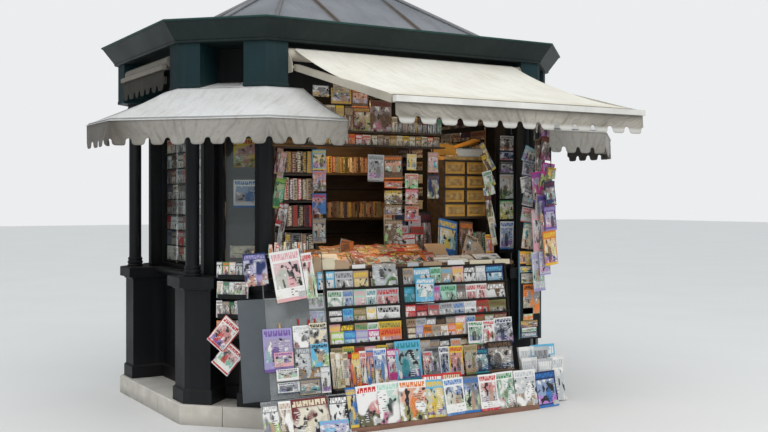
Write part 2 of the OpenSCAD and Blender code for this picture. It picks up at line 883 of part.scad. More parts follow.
module awning_valance() {
    color("#cfccc0")
    translate([0, bar_y + (bar_t - cloth_t) / 2, awning_bar_z])
        valance(awning_w - 10, scallops, valance_h);
}

// Rolled awnings under the cornice on the two sides: roller, bar and brackets
side_bar_s = 34;
side_roll_up = 62;
bracket_w = 30;
bracket_h = 60;
bracket_up = 10;
bracket_end = 60;
side_awning_w = side_len(0, box_inset) - 2 * (box_leg + box_band_out + side_awning_gap);
module side_awning() {
    translate([-side_awning_w / 2, 0, side_bar_z])
        cube([side_awning_w, side_bar_s, side_bar_s]);
    translate([-side_awning_w / 2, side_bar_s + roller_d / 2, side_bar_z + side_roll_up])
        rotate([0, 90, 0])
        cylinder(h = side_awning_w, d = roller_d);
    for (s = [-1, 1])
        translate([s * (side_awning_w / 2 - bracket_end) - bracket_w / 2, side_bar_s,
            side_bar_z + bracket_up])
        cube([bracket_w, wall_inset - box_inset + side_awning_out - side_bar_s, bracket_h]);
}
module side_awnings() {
    color("#a39c8c")
    for (i = [0, 4])
        on_side(i, box_inset - side_awning_out)
        side_awning();
}
module side_valances() {
    color("#7f7768")
    for (i = [0, 4])
        on_side(i, box_inset - side_awning_out)
        translate([0, (side_bar_s - cloth_t) / 2, side_bar_z])
        valance(side_awning_w - 20, side_scallops, side_valance_h);
}

// Corner canopies: a hipped cloth round each front corner with a hem tube and a valance
canopy_top_z = box_z - cloth_t - seat_gap;
canopy_slope = (canopy_top_z - canopy_hem_z) / (canopy_out + box_inset);
// Hem corners of the left canopy, from its rear end to its front end
function hem(out) = let (
    p = plan(-canopy_out + out)
) [[p[1].x, p[1].y + canopy_wrap - out], p[1], p[2], [p[2].x + canopy_wrap - out, p[2].y]];
// Upper corners of the left canopy, just under the corner boxes and on beyond them
function canopy_head() = let (
    p = plan(box_inset)
) [[p[1].x, p[1].y + box_leg + canopy_head_over], p[1], p[2],
    [p[2].x + box_leg + canopy_head_over, p[2].y]];
// Upper corners of the part that runs in between the boxes to the wall
function canopy_back() = let (
    p = plan(box_inset),
    along = (p[2] - p[1]) / norm(p[2] - p[1])
) [p[1] + along * (box_leg + 2), p[2] - along * (box_leg + 2)];
module canopy_cloth() {
    h = hem(0);
    t = canopy_head();
    for (i = [0 : 2])
        sheet_quad(at(h[i], canopy_hem_z), at(h[i + 1], canopy_hem_z),
            at(t[i + 1], canopy_top_z), at(t[i], canopy_top_z));
    inward = (wall_inset - box_inset - 2) * sqrt(0.5) * [1, 1];
    b = canopy_back();
    sheet_quad(at(b[0], canopy_top_z), at(b[1], canopy_top_z),
        at(b[1] + inward, canopy_top_z + tongue_rise),
        at(b[0] + inward, canopy_top_z + tongue_rise));
    for (i = [0 : 2]) {
        v = h[i + 1] - h[i];
        translate(at((h[i] + h[i + 1]) / 2, canopy_hem_z + 1))
            rotate(atan2(v.y, v.x))
            valance(norm(v), i == 1 ? canopy_scallops : end_scallops, canopy_valance_h);
    }
}
// Thin sheet over four corners that lie in one plane, given anticlockwise seen from above
module sheet_quad(a, b, c, d) {
    t = [0, 0, cloth_t];
    ring_stack([[a, b, c, d], [a + t, b + t, c + t, d + t]]);
}
module left_corner_canopy() {
    color("#d5d2c8")
        canopy_cloth();
}
module right_corner_canopy() {
    color("#d5d2c8")
        mirror([1, 0, 0])
        canopy_cloth();
}
// Round tube through points, mitred at the bends; all of it lies in one level plane
module level_tube(points, d, sides = 8) {
    n = len(points);
    function heading(i) = (points[i + 1] - points[i]) / norm(points[i + 1] - points[i]);
    function across(i) = let (
        a = heading(max(0, i - 1)),
        b = heading(min(n - 2, i)),
        m = (a + b) / norm(a + b)
    ) [m.y, -m.x, 0] / (m * a);
    polyhedron(
        points = [for (i = [0 : n - 1]) for (k = [0 : sides - 1])
            points[i] + d / 2 * (cos(360 * (k + 0.5) / sides) * across(i)
                + sin(360 * (k + 0.5) / sides) * [0, 0, 1])],
        faces = concat(
            [[for (k = [sides - 1 : -1 : 0]) k]],
            [for (i = [0 : n - 2]) for (k = [0 : sides - 1])
                [i * sides + k, i * sides + (k + 1) % sides,
                    (i + 1) * sides + (k + 1) % sides, (i + 1) * sides + k]],
            [[for (k = [0 : sides - 1]) (n - 1) * sides + k]]
        ));
}
// Tube along the hem, bars under the corner boxes, and stays between them
module canopy_frame() {
    inset = tube_d / 2 + cloth_t + 4;
    h = hem(inset);
    // The tube lies under the sloping cloth
    z = canopy_hem_z + inset * canopy_slope
        - (tube_d / 2 + seat_gap) * sqrt(1 + canopy_slope * canopy_slope);
    bar_in = tube_d + cloth_t;
    p = plan(box_inset + bar_in);
    bar_z = box_z - tube_d / 2;
    bar_leg = box_leg + canopy_head_over - bar_in;
    t = [[p[1].x, p[1].y + bar_leg], p[1], p[2], [p[2].x + bar_leg, p[2].y]];
    level_tube([for (q = h) at(q, z)], tube_d);
    for (i = [0, 2])
        square_bar(at(t[i], bar_z), at(t[i + 1], bar_z), tube_d);
    for (i = [0 : 3])
        rod(at(h[i], z), at(t[i], bar_z - 4), tube_d * 0.7, 8);
}
module canopy_frames() {
    color("#8d8f8e")
    for (s = [0, 1])
        mirror([s, 0, 0])
        canopy_frame();
}

// Board on the ground, step and leaning rack of the magazine display
module display_base() {
    color("#7a4a35")
    translate([base_left, plinth_front_y - seat_gap - board_d, 0])
        cube([rack_right + step_over_right - base_left, board_d, board_t]);
}
step_d = 250;
step_over_left = 15;
step_over_right = 10;
module display_step() {
    color("#20242a")
    translate([-rack_left - step_over_left, plinth_front_y - seat_gap - step_d, board_t])
        cube([rack_left + rack_right + step_over_left + step_over_right, step_d, step_z - board_t]);
}
rack_board_t = 10;
rack_post_w = 34;
rack_end_w = 14;
rack_post_d = 22;
rack_mid_post = 129;
rail_out = 30;
rail_t = 6;
rail_shelf_t = 5;
rack_h = (counter_z - counter_t / 2 - step_z) / cos(rack_lean);
rack_foot_y = front_wall_y - counter_lip - seat_gap
    - rack_h * sin(rack_lean) - rack_board_t / cos(rack_lean);
module display_rack() {
    color("#1c221f")
    translate([0, rack_foot_y, step_z])
        rotate([-rack_lean, 0, 0]) {
            translate([-rack_left, 0, rack_board_t * sin(rack_lean)])
                cube([rack_left + rack_right, rack_board_t, rack_h - 4]);
            for (post = [[-rack_left, rack_end_w], [-rack_mid_post, rack_post_w],
                [rack_right - rack_end_w, rack_end_w]])
                translate([post[0], -rack_post_d, rack_board_t * sin(rack_lean) + 4])
                cube([post[1], rack_post_d + 1, rack_h - 10]);
            for (k = [0 : 3])
                translate([-rack_left, -rail_out,
                    (rail_z + k * rail_pitch + (k == 1 ? rail_lift : 0) - step_z)
                        / cos(rack_lean)]) {
                    cube([rack_left + rack_right, rail_t, rail_h]);
                    cube([rack_left + rack_right, rail_out + 1, rail_shelf_t]);
                }
        }
}

// Wire stand left of the rack with clear sheets clipped to it
base_left = -rack_left - 30;
stand_x = base_left - wire_d / 2 - seat_gap - stand_w;
stand_y = -cornice_d / 2 - stand_out;
module wire_stand() {
    color("#9a9d9c") {
        translate([0, stand_y, wire_d / 2])
            rotate([-stand_lean, 0, 0]) {
                for (x = [stand_x, stand_x + stand_w])
                    rod([x, 0, 0], [x, 0, stand_h], wire_d);
                for (z = [sheet_z, sheet_z + sheet_h / 2, sheet_z + sheet_h, stand_h])
                    rod([stand_x, 0, z], [stand_x + stand_w, 0, z], wire_d);
            }
        front = stand_y - stand_foot + stand_foot / 3;
        for (x = [stand_x, stand_x + stand_w])
            rod([x, front, wire_d / 2], [x, front + stand_foot, wire_d / 2], wire_d);
        rod([stand_x, front, wire_d / 2], [stand_x + stand_w, front, wire_d / 2], wire_d);
    }
}
module clear_sheets() {
    color("#9aa0a6", 0.5)
    translate([0, stand_y, wire_d / 2])
        rotate([-stand_lean, 0, 0])
        translate([0, -wire_d / 2 - sheet_t - seat_gap, sheet_z]) {
            translate([stand_x + 2, 0, 0])
                cube([stand_w - 4, sheet_t, sheet_h]);
            translate([stand_x - side_sheet_w - 2, 0, 0])
                cube([side_sheet_w, sheet_t, sheet_h]);
        }
}
// Low clear easel on the ground, its right end against the base board
module low_easel() {
    color("#a9b0b4", 0.5)
    translate([base_left - seat_gap - easel_w, stand_y - easel_out, 0])
        rotate([90, 0, 90])
        linear_extrude(easel_w)
        polygon([[0, 0], [easel_d, 0], [easel_d, sheet_t], [easel_slot + sheet_t, sheet_t],
            [easel_slot + sheet_t + easel_h * tan(easel_lean), easel_h],
            [easel_slot + easel_h * tan(easel_lean), easel_h], [easel_slot, sheet_t],
            [sheet_t, sheet_t], [sheet_t, easel_lip], [0, easel_lip]]);
}
// Wire rack with ledges, hung on the caps of the front left pedestals
module corner_wire_rack() {
    foot = sill_z + corner_rack_rise - corner_rack_h;
    pitch = corner_rack_h / ledges;
    color("#1a1c1e")
    on_side(1, pedestal_inset - cap_out)
        translate([corner_rack_shift - corner_rack_w / 2, -wire_d - seat_gap, 0]) {
            for (x = [0, corner_rack_w - wire_d])
                translate([x, 0, foot])
                cube([wire_d, wire_d, corner_rack_h]);
            for (k = [0 : ledges - 1])
                translate([0, -ledge_d, foot + k * pitch]) {
                    cube([corner_rack_w, ledge_d + wire_d, wire_d / 2]);
                    cube([corner_rack_w, wire_d / 2, 4 * wire_d]);
                }
        }
}

// Shelves inside the rear windows
shelf_side_gap = 80;
shelf_head_gap = 125;
shelf_back_t = 8;
rear_shelf_w = side_len(6, wall_inner) - 2 * shelf_side_gap;
module rear_shelves() {
    h = box_z - shelf_head_gap - door_z;
    color("#2a2420")
    on_side(6, wall_inner + seat_gap)
        translate([-rear_shelf_w / 2, 0, door_z]) {
            cube([rear_shelf_w, shelf_back_t, h]);
            for (x = [0, rear_shelf_w - shelf_t])
                translate([x, 0, 0])
                cube([shelf_t, shelf_d, h]);
            for (k = [0 : shelf_rows])
                translate([0, 0, k * (h - shelf_t) / shelf_rows])
                cube([rear_shelf_w, shelf_d, shelf_t]);
        }
}
// Shelves standing at the two ends of the counter: boards between two sides and a back
module end_shelf(w, heights, dividers) {
    top = heights[len(heights) - 1];
    translate([0, front_wall_y - counter_lip + counter_d - end_shelf_d, counter_z]) {
        translate([0, end_shelf_d - end_shelf_t / 2, 0])
            cube([w, end_shelf_t / 2, top]);
        for (x = [0, w - end_shelf_t])
            translate([x, 0, 0])
            cube([end_shelf_t, end_shelf_d, top]);
        for (z = heights)
            translate([0, 0, z == 0 ? 0 : z - end_shelf_t])
            cube([w, end_shelf_d, end_shelf_t]);
        if (dividers)
            translate([w / 2 - end_shelf_t / 2, 0, heights[1] - end_shelf_t])
            cube([end_shelf_t, end_shelf_d, top - heights[1] + end_shelf_t]);
    }
}
// Book shelf at the left end
module book_shelf() {
    color("#2a2119")
    translate([-front_gap + 1, 0, 0])
        end_shelf(book_shelf_w, concat([0], [for (k = [0 : book_rows])
            book_base_h + k * book_row_h]), false);
}
// Box shelf at the right end, with rows of two boxes
module box_shelf() {
    color("#b98a3c")
    translate([front_gap - 1 - box_shelf_w, 0, 0])
        end_shelf(box_shelf_w, concat([0], [for (k = [0 : box_rows])
            box_base_h + k * box_row_h]), true);
}
// Two narrow shelves on hangers under the frieze over the counter
hanger_d = 30;
module overhead_shelves() {
    foot = box_z - overhead_drop;
    color("#20201f")
    translate([-overhead_w / 2 - overhead_left, -cornice_d / 2 + wall_inset + frieze_t - overhead_d,
        foot]) {
        for (z = [0, overhead_pitch])
            translate([0, 0, z])
            cube([overhead_w, overhead_d, overhead_t]);
        for (x = [0, (overhead_w - overhead_t) / 2, overhead_w - overhead_t])
            translate([x, overhead_d - hanger_d, 0])
            cube([overhead_t, hanger_d, overhead_drop]);
    }
}

stone_plinth();
floor_boards();
pedestals(1);  // front_pedestals
pedestals(5);  // rear_pedestals
columns();
corner_boxes();
wall_dados();
corner_dados();
counter_front();
counter_top();
enclosure_posts();
wall_window_frames();
corner_window_frames();
window_glass();
side_door();
side_door_glass();
frieze_panels();
soffit();
cornice();
cornice_rim();
front_roof_slope();
rear_roof_slope();
end_roof_slopes();
roof_rolls();
awning_roller();
awning_arms();
awning_front_bar();
awning_cloth();
awning_valance();
side_awnings();
side_valances();
canopy_frames();
left_corner_canopy();
right_corner_canopy();
display_base();
display_step();
display_rack();
wire_stand();
clear_sheets();
low_easel();
corner_wire_rack();
rear_shelves();
book_shelf();
box_shelf();
overhead_shelves();
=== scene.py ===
import math
import random

import bpy
from mathutils import Euler, Matrix, Vector, noise


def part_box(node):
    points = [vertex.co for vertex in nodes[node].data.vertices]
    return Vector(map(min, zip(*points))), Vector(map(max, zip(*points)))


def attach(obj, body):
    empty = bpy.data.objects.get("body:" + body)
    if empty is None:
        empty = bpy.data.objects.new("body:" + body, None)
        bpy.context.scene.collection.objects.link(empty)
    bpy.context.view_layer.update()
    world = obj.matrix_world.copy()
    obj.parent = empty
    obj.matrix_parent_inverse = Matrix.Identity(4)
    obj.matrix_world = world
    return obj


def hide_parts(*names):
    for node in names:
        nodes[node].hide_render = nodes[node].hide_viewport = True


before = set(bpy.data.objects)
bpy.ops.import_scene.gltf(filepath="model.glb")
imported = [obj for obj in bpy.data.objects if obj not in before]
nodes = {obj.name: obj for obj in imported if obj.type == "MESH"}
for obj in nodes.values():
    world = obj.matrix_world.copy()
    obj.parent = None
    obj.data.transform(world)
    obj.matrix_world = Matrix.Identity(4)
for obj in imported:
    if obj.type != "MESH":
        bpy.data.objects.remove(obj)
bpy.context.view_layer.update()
scene = bpy.context.scene
scene.view_settings.view_transform = "Standard"

# Camera at eye height, level, left of the kiosk's front. The small shift puts the horizon as
# high in the frame as it stands in the photograph.
EYE = (-4.1668, -7.7703, 1.6)
EYE_TURN = -30.82
LENS = 47.96
SENSOR_WIDTH = 36
FRAME_SHIFT = -0.0196
SIGHT = 200
camera = bpy.data.objects.new("eye", bpy.data.cameras.new("eye"))
camera.data.lens = LENS
camera.data.sensor_width = SENSOR_WIDTH
camera.data.shift_y = FRAME_SHIFT
camera.data.clip_end = SIGHT
camera.location = EYE
camera.rotation_euler = (math.radians(90), 0, math.radians(EYE_TURN))
scene.collection.objects.link(camera)
scene.camera = camera


def plug(slot, value):
    """Links a socket into a slot, or sets the slot's own value."""
    if isinstance(value, Field):
        value = value.socket
    if isinstance(value, bpy.types.NodeSocket):
        slot.id_data.links.new(value, slot)
    else:
        slot.default_value = value


class Field:
    """A number that varies over a surface. Arithmetic on it adds math nodes."""

    def __init__(self, socket):
        self.socket = socket

    def op(self, operation, *others):
        node = self.socket.id_data.nodes.new("ShaderNodeMath")
        node.operation = operation
        for slot, value in zip(node.inputs, (self, *others)):
            plug(slot, value)
        return Field(node.outputs[0])

    def __add__(self, other):
        return self.op("ADD", other)

    def __sub__(self, other):
        return self.op("SUBTRACT", other)

    def __mul__(self, other):
        return self.op("MULTIPLY", other)

    def __gt__(self, other):
        return self.op("GREATER_THAN", other)

    def __lt__(self, other):
        return self.op("LESS_THAN", other)

    def opposite(self):
        return self * -1.0 + 1.0

    def ramp(self, low, high, start=0.0, end=1.0):
        """Runs from start to end as the number goes from low to high, and stays there."""
        node = self.socket.id_data.nodes.new("ShaderNodeMapRange")
        for slot, value in zip(node.inputs, (self, low, high, start, end)):
            plug(slot, value)
        return Field(node.outputs[0])


def feed(node, **sockets):
    """Fills inputs of a node by name. An underscore in a name stands for a space."""
    for name, value in sockets.items():
        plug(node.inputs[name.replace("_", " ")], value)


def add(tree, kind, settings=None, **sockets):
    """Adds a shader node, sets its options, and fills the inputs named."""
    node = tree.nodes.new("ShaderNode" + kind)
    for name, value in (settings or {}).items():
        setattr(node, name, value)
    feed(node, **sockets)
    return node


def mix(tree, share, under, over):
    """Colour under, covered by colour over to the share given."""
    node = add(tree, "Mix", {"data_type": "RGBA"})
    for slot, value in zip((0, 6, 7), (share, under, over)):
        plug(node.inputs[slot], value)
    return node.outputs[2]


def cloud(tree, where, scale, detail=3.0, stretch=(1, 1, 1), roughness=0.55):
    """Soft noise between 0 and 1, stretched along the axes where that is asked."""
    if stretch != (1, 1, 1):
        where = add(tree, "Mapping", Vector=where, Scale=stretch).outputs[0]
    node = add(tree, "TexNoise", Vector=where, Scale=scale, Detail=detail, Roughness=roughness)
    return Field(node.outputs["Fac"])


def finish(name, **sockets):
    """A new material whose one shader takes the plain values given."""
    material = bpy.data.materials.new(name)
    material.use_nodes = True
    shader = material.node_tree.nodes["Principled BSDF"]
    feed(shader, **sockets)
    return material, material.node_tree, shader


def place_of(tree):
    """Where a point lies on the object, in metres."""
    return add(tree, "TexCoord").outputs["Object"]


def axes_of(tree, vector):
    """The three numbers of a place or a direction."""
    return [Field(part) for part in add(tree, "SeparateXYZ", Vector=vector).outputs]


def relief(tree, height, distance, **sockets):
    """Normal of a surface whose small relief is the height given."""
    return add(tree, "Bump", Height=height, Distance=distance, **sockets).outputs[0]


# Pale floor and even daylight. The floor is one plain sheet that reaches the horizon, the
# sky lights from all round, a broad lamp overhead in front gives a soft shadow, and the sky
# that shines back from the paint is dimmer.
FLOOR_SIZE = 120
FLOOR_DROP = 0.0008
FLOOR_TONE = (0.80, 0.795, 0.78, 1)
bpy.ops.mesh.primitive_plane_add(size=FLOOR_SIZE, location=(0, 0, -FLOOR_DROP))
floor = bpy.context.object
floor.name = "floor"
material, tree, shader = finish("pale_floor", Roughness=0.85)
tone = cloud(tree, place_of(tree), 0.6).ramp(0.3, 0.7, 0.97, 1.0)
feed(shader, Base_Color=mix(tree, tone, (0, 0, 0, 1), FLOOR_TONE))
floor.data.materials.append(material)

SKY_LIGHT = 0.92
BACKDROP = 0.86
MIRRORED_LIGHT = 0.17
KEY_LIGHT = 380
world = bpy.data.worlds.new("daylight")
world.use_nodes = True
scene.world = world
tree = world.node_tree
tree.nodes.clear()
ray = add(tree, "LightPath")
seen = Field(ray.outputs["Is Camera Ray"]) + Field(ray.outputs["Is Transmission Ray"])
strength = Field(ray.outputs["Is Glossy Ray"]).ramp(0, 1, SKY_LIGHT, MIRRORED_LIGHT)
light = add(tree, "Background", Color=(0.93, 0.97, 1, 1), Strength=strength)
pale = add(tree, "Background", Color=(0.97, 0.985, 1, 1), Strength=BACKDROP)
both = add(tree, "MixShader", Fac=seen.op("MINIMUM", 1.0))
plug(both.inputs[1], light.outputs[0])
plug(both.inputs[2], pale.outputs[0])
sky = tree.nodes.new("ShaderNodeOutputWorld")
plug(sky.inputs["Surface"], both.outputs[0])


def lamp(name, energy, place, aim, size, colour):
    """A broad lamp at a place, turned to shine at a point."""
    data = bpy.data.lights.new(name, "AREA")
    data.energy = energy
    data.color = colour
    data.shape = "RECTANGLE"
    data.size, data.size_y = size
    light = bpy.data.objects.new(name, data)
    light.location = place
    light.rotation_euler = (Vector(aim) - Vector(place)).to_track_quat("-Z", "Y").to_euler()
    scene.collection.objects.link(light)


lamp("daylight_key", KEY_LIGHT, (-2.4, -7.5, 7.5), (0, 0, 1.2), (8, 6), (1, 0.985, 0.96))


def dress(material, *names):
    """Gives CAD pieces their finish."""
    for name in names:
        for slot in nodes[name].material_slots:
            slot.material = material


# Stone plinth: one ring of sawn limestone blocks on a solid base, laid with open joints. Its
# top edge is worn pale and its foot is darkened by splashes.
STONE_PALE = (0.76, 0.725, 0.655, 1)
STONE_DARK = (0.50, 0.47, 0.415, 1)
STONE_SPLASH = (0.16, 0.15, 0.135, 1)
STONE_WORN = (0.68, 0.66, 0.61, 1)
SPLASH_TOP = 0.075
WORN_FOOT, WORN_TOP = 0.128, 0.142
material, tree, shader = finish("limestone", Roughness=0.78)
where = place_of(tree)
height = axes_of(tree, where)[2]
broad = cloud(tree, where, 3.2, 5)
grain = cloud(tree, where, 46, 6, roughness=0.7)
pits = Field(add(tree, "TexVoronoi", Vector=where, Scale=70.0).outputs["Distance"])
splash = height.ramp(SPLASH_TOP, 0.0, 0, 0.8) * broad.ramp(0.25, 0.6)
worn = height.ramp(WORN_FOOT, WORN_TOP, 0, 0.3) * grain.ramp(0.3, 0.6)
colour = mix(tree, broad.ramp(0.35, 0.68), STONE_DARK, STONE_PALE)
colour = mix(tree, grain.ramp(0.42, 0.72, 0, 0.45), colour, STONE_DARK)
colour = mix(tree, splash, colour, STONE_SPLASH)
feed(shader, Base_Color=mix(tree, worn, colour, STONE_WORN),
     Normal=relief(tree, grain + pits.ramp(0, 0.2, 0, 0.4), 0.0035))
dress(material, "stone_plinth")

# Floor: narrow boards nailed down front to back inside the enclosure, trodden and waxed dark.
# The boards differ in tone, and a dark gap runs between them.
BOARD_W = 0.12
GAP_SHARE = 0.03
FLOOR_DARK, FLOOR_LIGHT = (0.14, 0.085, 0.05, 1), (0.27, 0.18, 0.11, 1)
material, tree, shader = finish("floor_wood", Roughness=0.6)
where = place_of(tree)
across = axes_of(tree, where)[0] * (1 / BOARD_W)
gap = across.op("FRACT") < GAP_SHARE
board = add(tree, "TexWhiteNoise", {"noise_dimensions": "1D"}, W=across.op("FLOOR")).outputs[0]
grain = cloud(tree, where, 5, 6, (16, 1.2, 1))
colour = mix(tree, grain.ramp(0.3, 0.7), FLOOR_DARK, FLOOR_LIGHT)
colour = mix(tree, Field(board) * 0.5, colour, (0.10, 0.065, 0.04, 1))
feed(shader, Base_Color=mix(tree, gap, colour, (0.02, 0.014, 0.01, 1)),
     Normal=relief(tree, grain - gap, 0.002))
dress(material, "floor_boards")


def effect(name, inputs, outputs):
    """A new node group: numbers and colours in, and the outputs with their kinds."""
    tree = bpy.data.node_groups.new(name, "ShaderNodeTree")
    for label, value in inputs.items():
        kind = "NodeSocketColor" if hasattr(value, "__len__") else "NodeSocketFloat"
        slot = tree.interface.new_socket(name=label, in_out="INPUT", socket_type=kind)
        slot.default_value = value
    for label, kind in outputs.items():
        tree.interface.new_socket(name=label, in_out="OUTPUT", socket_type="NodeSocket" + kind)
    return tree, tree.nodes.new("NodeGroupInput").outputs, tree.nodes.new("NodeGroupOutput").inputs


def use(tree, group, **sockets):
    """Places a node group in a material with this material's own values."""
    return add(tree, "Group", {"node_tree": bpy.data.node_groups[group]}, **sockets).outputs


def coated(name, group, values, **sockets):
    """A material whose colour, roughness and relief come from a node group."""
    material, tree, shader = finish(name, **sockets)
    made = use(tree, group, **values)
    feed(shader, Base_Color=made["Colour"], Roughness=made["Roughness"], Normal=made["Normal"])
    return material


# Aged paint on metal: brushed gloss that has gone satin. Dust lies on what faces up, rain has
# left faint runs, splashes reach up from the ground, and edges show a thin worn line.
tree, given, result = effect("aged_paint", {
    "Paint": (0.02, 0.03, 0.04, 1), "Dust": (0.3, 0.28, 0.24, 1), "Gloss": 0.35, "Age": 0.5,
}, {"Colour": "Color", "Roughness": "Float", "Normal": "Vector"})
where = place_of(tree)
height = axes_of(tree, where)[2]
surface = add(tree, "NewGeometry").outputs["Normal"]
facing = axes_of(tree, surface)[2]
rounded = add(tree, "Bevel", {"samples": 4}, Radius=0.004).outputs[0]
apart = add(tree, "VectorMath", {"operation": "DISTANCE"})
plug(apart.inputs[0], rounded)
plug(apart.inputs[1], surface)
edge = Field(apart.outputs["Value"])
age = Field(given["Age"])
patches = cloud(tree, where, 2.4, 5)
runs = cloud(tree, where, 3, 4, (7, 7, 0.35))
grit = cloud(tree, where, 120, 3, roughness=0.7)
dust = facing.ramp(0.55, 0.95) * patches.ramp(0.3, 0.6, 0.25, 0.75)
dust = dust + runs.ramp(0.5, 0.75, 0, 0.16) + height.ramp(0.42, 0.14, 0, 0.22) * patches
worn = edge.ramp(0.12, 0.5) * grit.ramp(0.4, 0.65) * 0.5
cover = ((dust + worn) * age).op("MINIMUM", 1.0)
tinted = mix(tree, patches.ramp(0.3, 0.7, 0, 0.35), given["Paint"], (0.0, 0.0, 0.0, 1))
plug(result["Colour"], mix(tree, cover, tinted, given["Dust"]))
rough = Field(given["Gloss"]) + cover * 0.45 + grit.ramp(0.35, 0.7, 0, 0.12)
plug(result["Roughness"], rough + patches.ramp(0.4, 0.7, 0, 0.08))
plug(result["Normal"], relief(tree, grit + patches * 3.0, 0.0006, Normal=rounded))


def paint(name, colour, gloss, age, dust=(0.3, 0.28, 0.24, 1), **sockets):
    """A material of aged paint in one colour."""
    values = {"Paint": (*colour, 1), "Dust": dust, "Gloss": gloss, "Age": age}
    return coated(name, "aged_paint", values, Specular_IOR_Level=0.32, **sockets)


# Pedestals and columns at the four cut corners: castings bolted together on the plinth, in
# blue-black satin paint.
dress(paint("pedestal_paint", (0.0055, 0.0075, 0.010), 0.42, 0.16),
      "front_pedestals", "rear_pedestals", "columns")

# Enclosure: dado walls, posts, window frames, counter front, door and frieze, of sheet and
# bar screwed together in panels, all in one black paint.
wall_paint = paint("wall_paint", (0.0045, 0.0055, 0.0065), 0.45, 0.14)
dress(wall_paint, "wall_dados", "corner_dados", "counter_front", "enclosure_posts",
      "wall_window_frames", "corner_window_frames", "side_door", "frieze_panels")

# Boxes over the columns: folded from sheet steel, set on the heads of the columns and
# painted a dark petrol blue.
dress(paint("box_paint", (0.006, 0.030, 0.036), 0.45, 0.12), "corner_boxes")

# Flared cornice and soffit: folded sheet in near-black green, with a rim of lighter green
# sheet screwed along the top.
dress(paint("cornice_paint", (0.006, 0.017, 0.017), 0.45, 0.14), "cornice", "soffit")
dress(paint("rim_paint", (0.012, 0.060, 0.054), 0.45, 0.3), "cornice_rim")

# Hipped roof of grey sheet metal, joined by standing seams, with round rolls over the hips
# and the ridge. Rain has drawn faint streaks down it, and brown dirt lies beside the seams.
SEAM_X = 0.375
ROOF_DARK, ROOF_LIGHT = (0.20, 0.215, 0.24, 1), (0.30, 0.315, 0.34, 1)
ROOF_STREAK, ROOF_BLOOM = (0.15, 0.148, 0.15, 1), (0.37, 0.38, 0.40, 1)
ROOF_DIRT = (0.15, 0.11, 0.08, 1)
material, tree, shader = finish("roof_sheet", Metallic=0.15)
where = place_of(tree)
beside = (axes_of(tree, where)[0].op("ABSOLUTE") - SEAM_X).op("ABSOLUTE")
patches = cloud(tree, where, 2.2, 5)
streaks = cloud(tree, where, 2.4, 5, (6, 0.6, 0.6))
fine = cloud(tree, where, 60, 4)
gathered = beside.ramp(0.05, 0.012, 0, 0.75) * patches.ramp(0.25, 0.5)
colour = mix(tree, patches.ramp(0.3, 0.7), ROOF_DARK, ROOF_LIGHT)
colour = mix(tree, streaks.ramp(0.5, 0.75, 0, 0.5), colour, ROOF_STREAK)
colour = mix(tree, fine.ramp(0.5, 0.8, 0, 0.4), colour, ROOF_BLOOM)
feed(shader, Base_Color=mix(tree, gathered, colour, ROOF_DIRT),
     Roughness=streaks.ramp(0.3, 0.7, 0.42, 0.62),
     Normal=relief(tree, patches + fine * 0.2, 0.004))
dress(material, "front_roof_slope", "rear_roof_slope", "end_roof_slopes")
dress(paint("roll_metal", (0.26, 0.265, 0.275), 0.5, 0.7, (0.10, 0.08, 0.065, 1)), "roof_rolls")

# Window and door glass: single panes held in the frames by beads. They are clear, a little
# green, with a film of dust and wiped patches.
material, tree, shader = finish("window_glass", Base_Color=(0.92, 0.97, 0.96, 1), IOR=1.45,
                                Transmission_Weight=1.0)
film = cloud(tree, place_of(tree), 2.6, 6, (1, 1, 0.6))
feed(shader, Roughness=film.ramp(0.45, 0.75, 0.015, 0.09))
dress(material, "window_glass", "side_door_glass")

# Metalwork of the front awning: folding arms and a roller tube in cream paint, and a front
# bar of bright white extrusion that the cloth is slid into.
dress(paint("awning_beige", (0.52, 0.475, 0.39), 0.42, 0.5, (0.2, 0.18, 0.15, 1)),
      "awning_arms", "awning_roller")
dress(paint("awning_white", (0.78, 0.77, 0.73), 0.35, 0.3, (0.45, 0.42, 0.36, 1)),
      "awning_front_bar")

# Woven awning cloth, weathered outdoors: a plain weave with soft brown stains, runs down the
# fall of the cloth and a bloom of grey. UV runs in metres, across and down the cloth.
tree, given, result = effect("awning_weave", {
    "Cloth": (0.7, 0.68, 0.6, 1), "Stain": (0.4, 0.34, 0.24, 1), "Dirt": 0.5,
}, {"Colour": "Color", "Normal": "Vector"})
where = add(tree, "UVMap").outputs[0]
dirt = Field(given["Dirt"])
bloom = cloud(tree, where, 2.2, 5)
runs = cloud(tree, where, 5, 5, (5, 0.7, 1))
mottle = cloud(tree, where, 34, 4, roughness=0.65)
threads = add(tree, "Mapping", Vector=where, Scale=(900, 900, 1)).outputs[0]
woven = Field(add(tree, "TexChecker", Vector=threads, Scale=1.0).outputs["Fac"])
colour = mix(tree, bloom.ramp(0.42, 0.72) * dirt * 0.6, given["Cloth"], given["Stain"])
colour = mix(tree, runs.ramp(0.5, 0.74) * dirt * 0.7, colour, given["Stain"])
colour = mix(tree, mottle.ramp(0.5, 0.72) * dirt * 0.35, colour, given["Stain"])
plug(result["Colour"], mix(tree, woven * 0.05, colour, (0, 0, 0, 1)))
plug(result["Normal"], relief(tree, woven * 0.12 + mottle + bloom * 2.0, 0.0012))


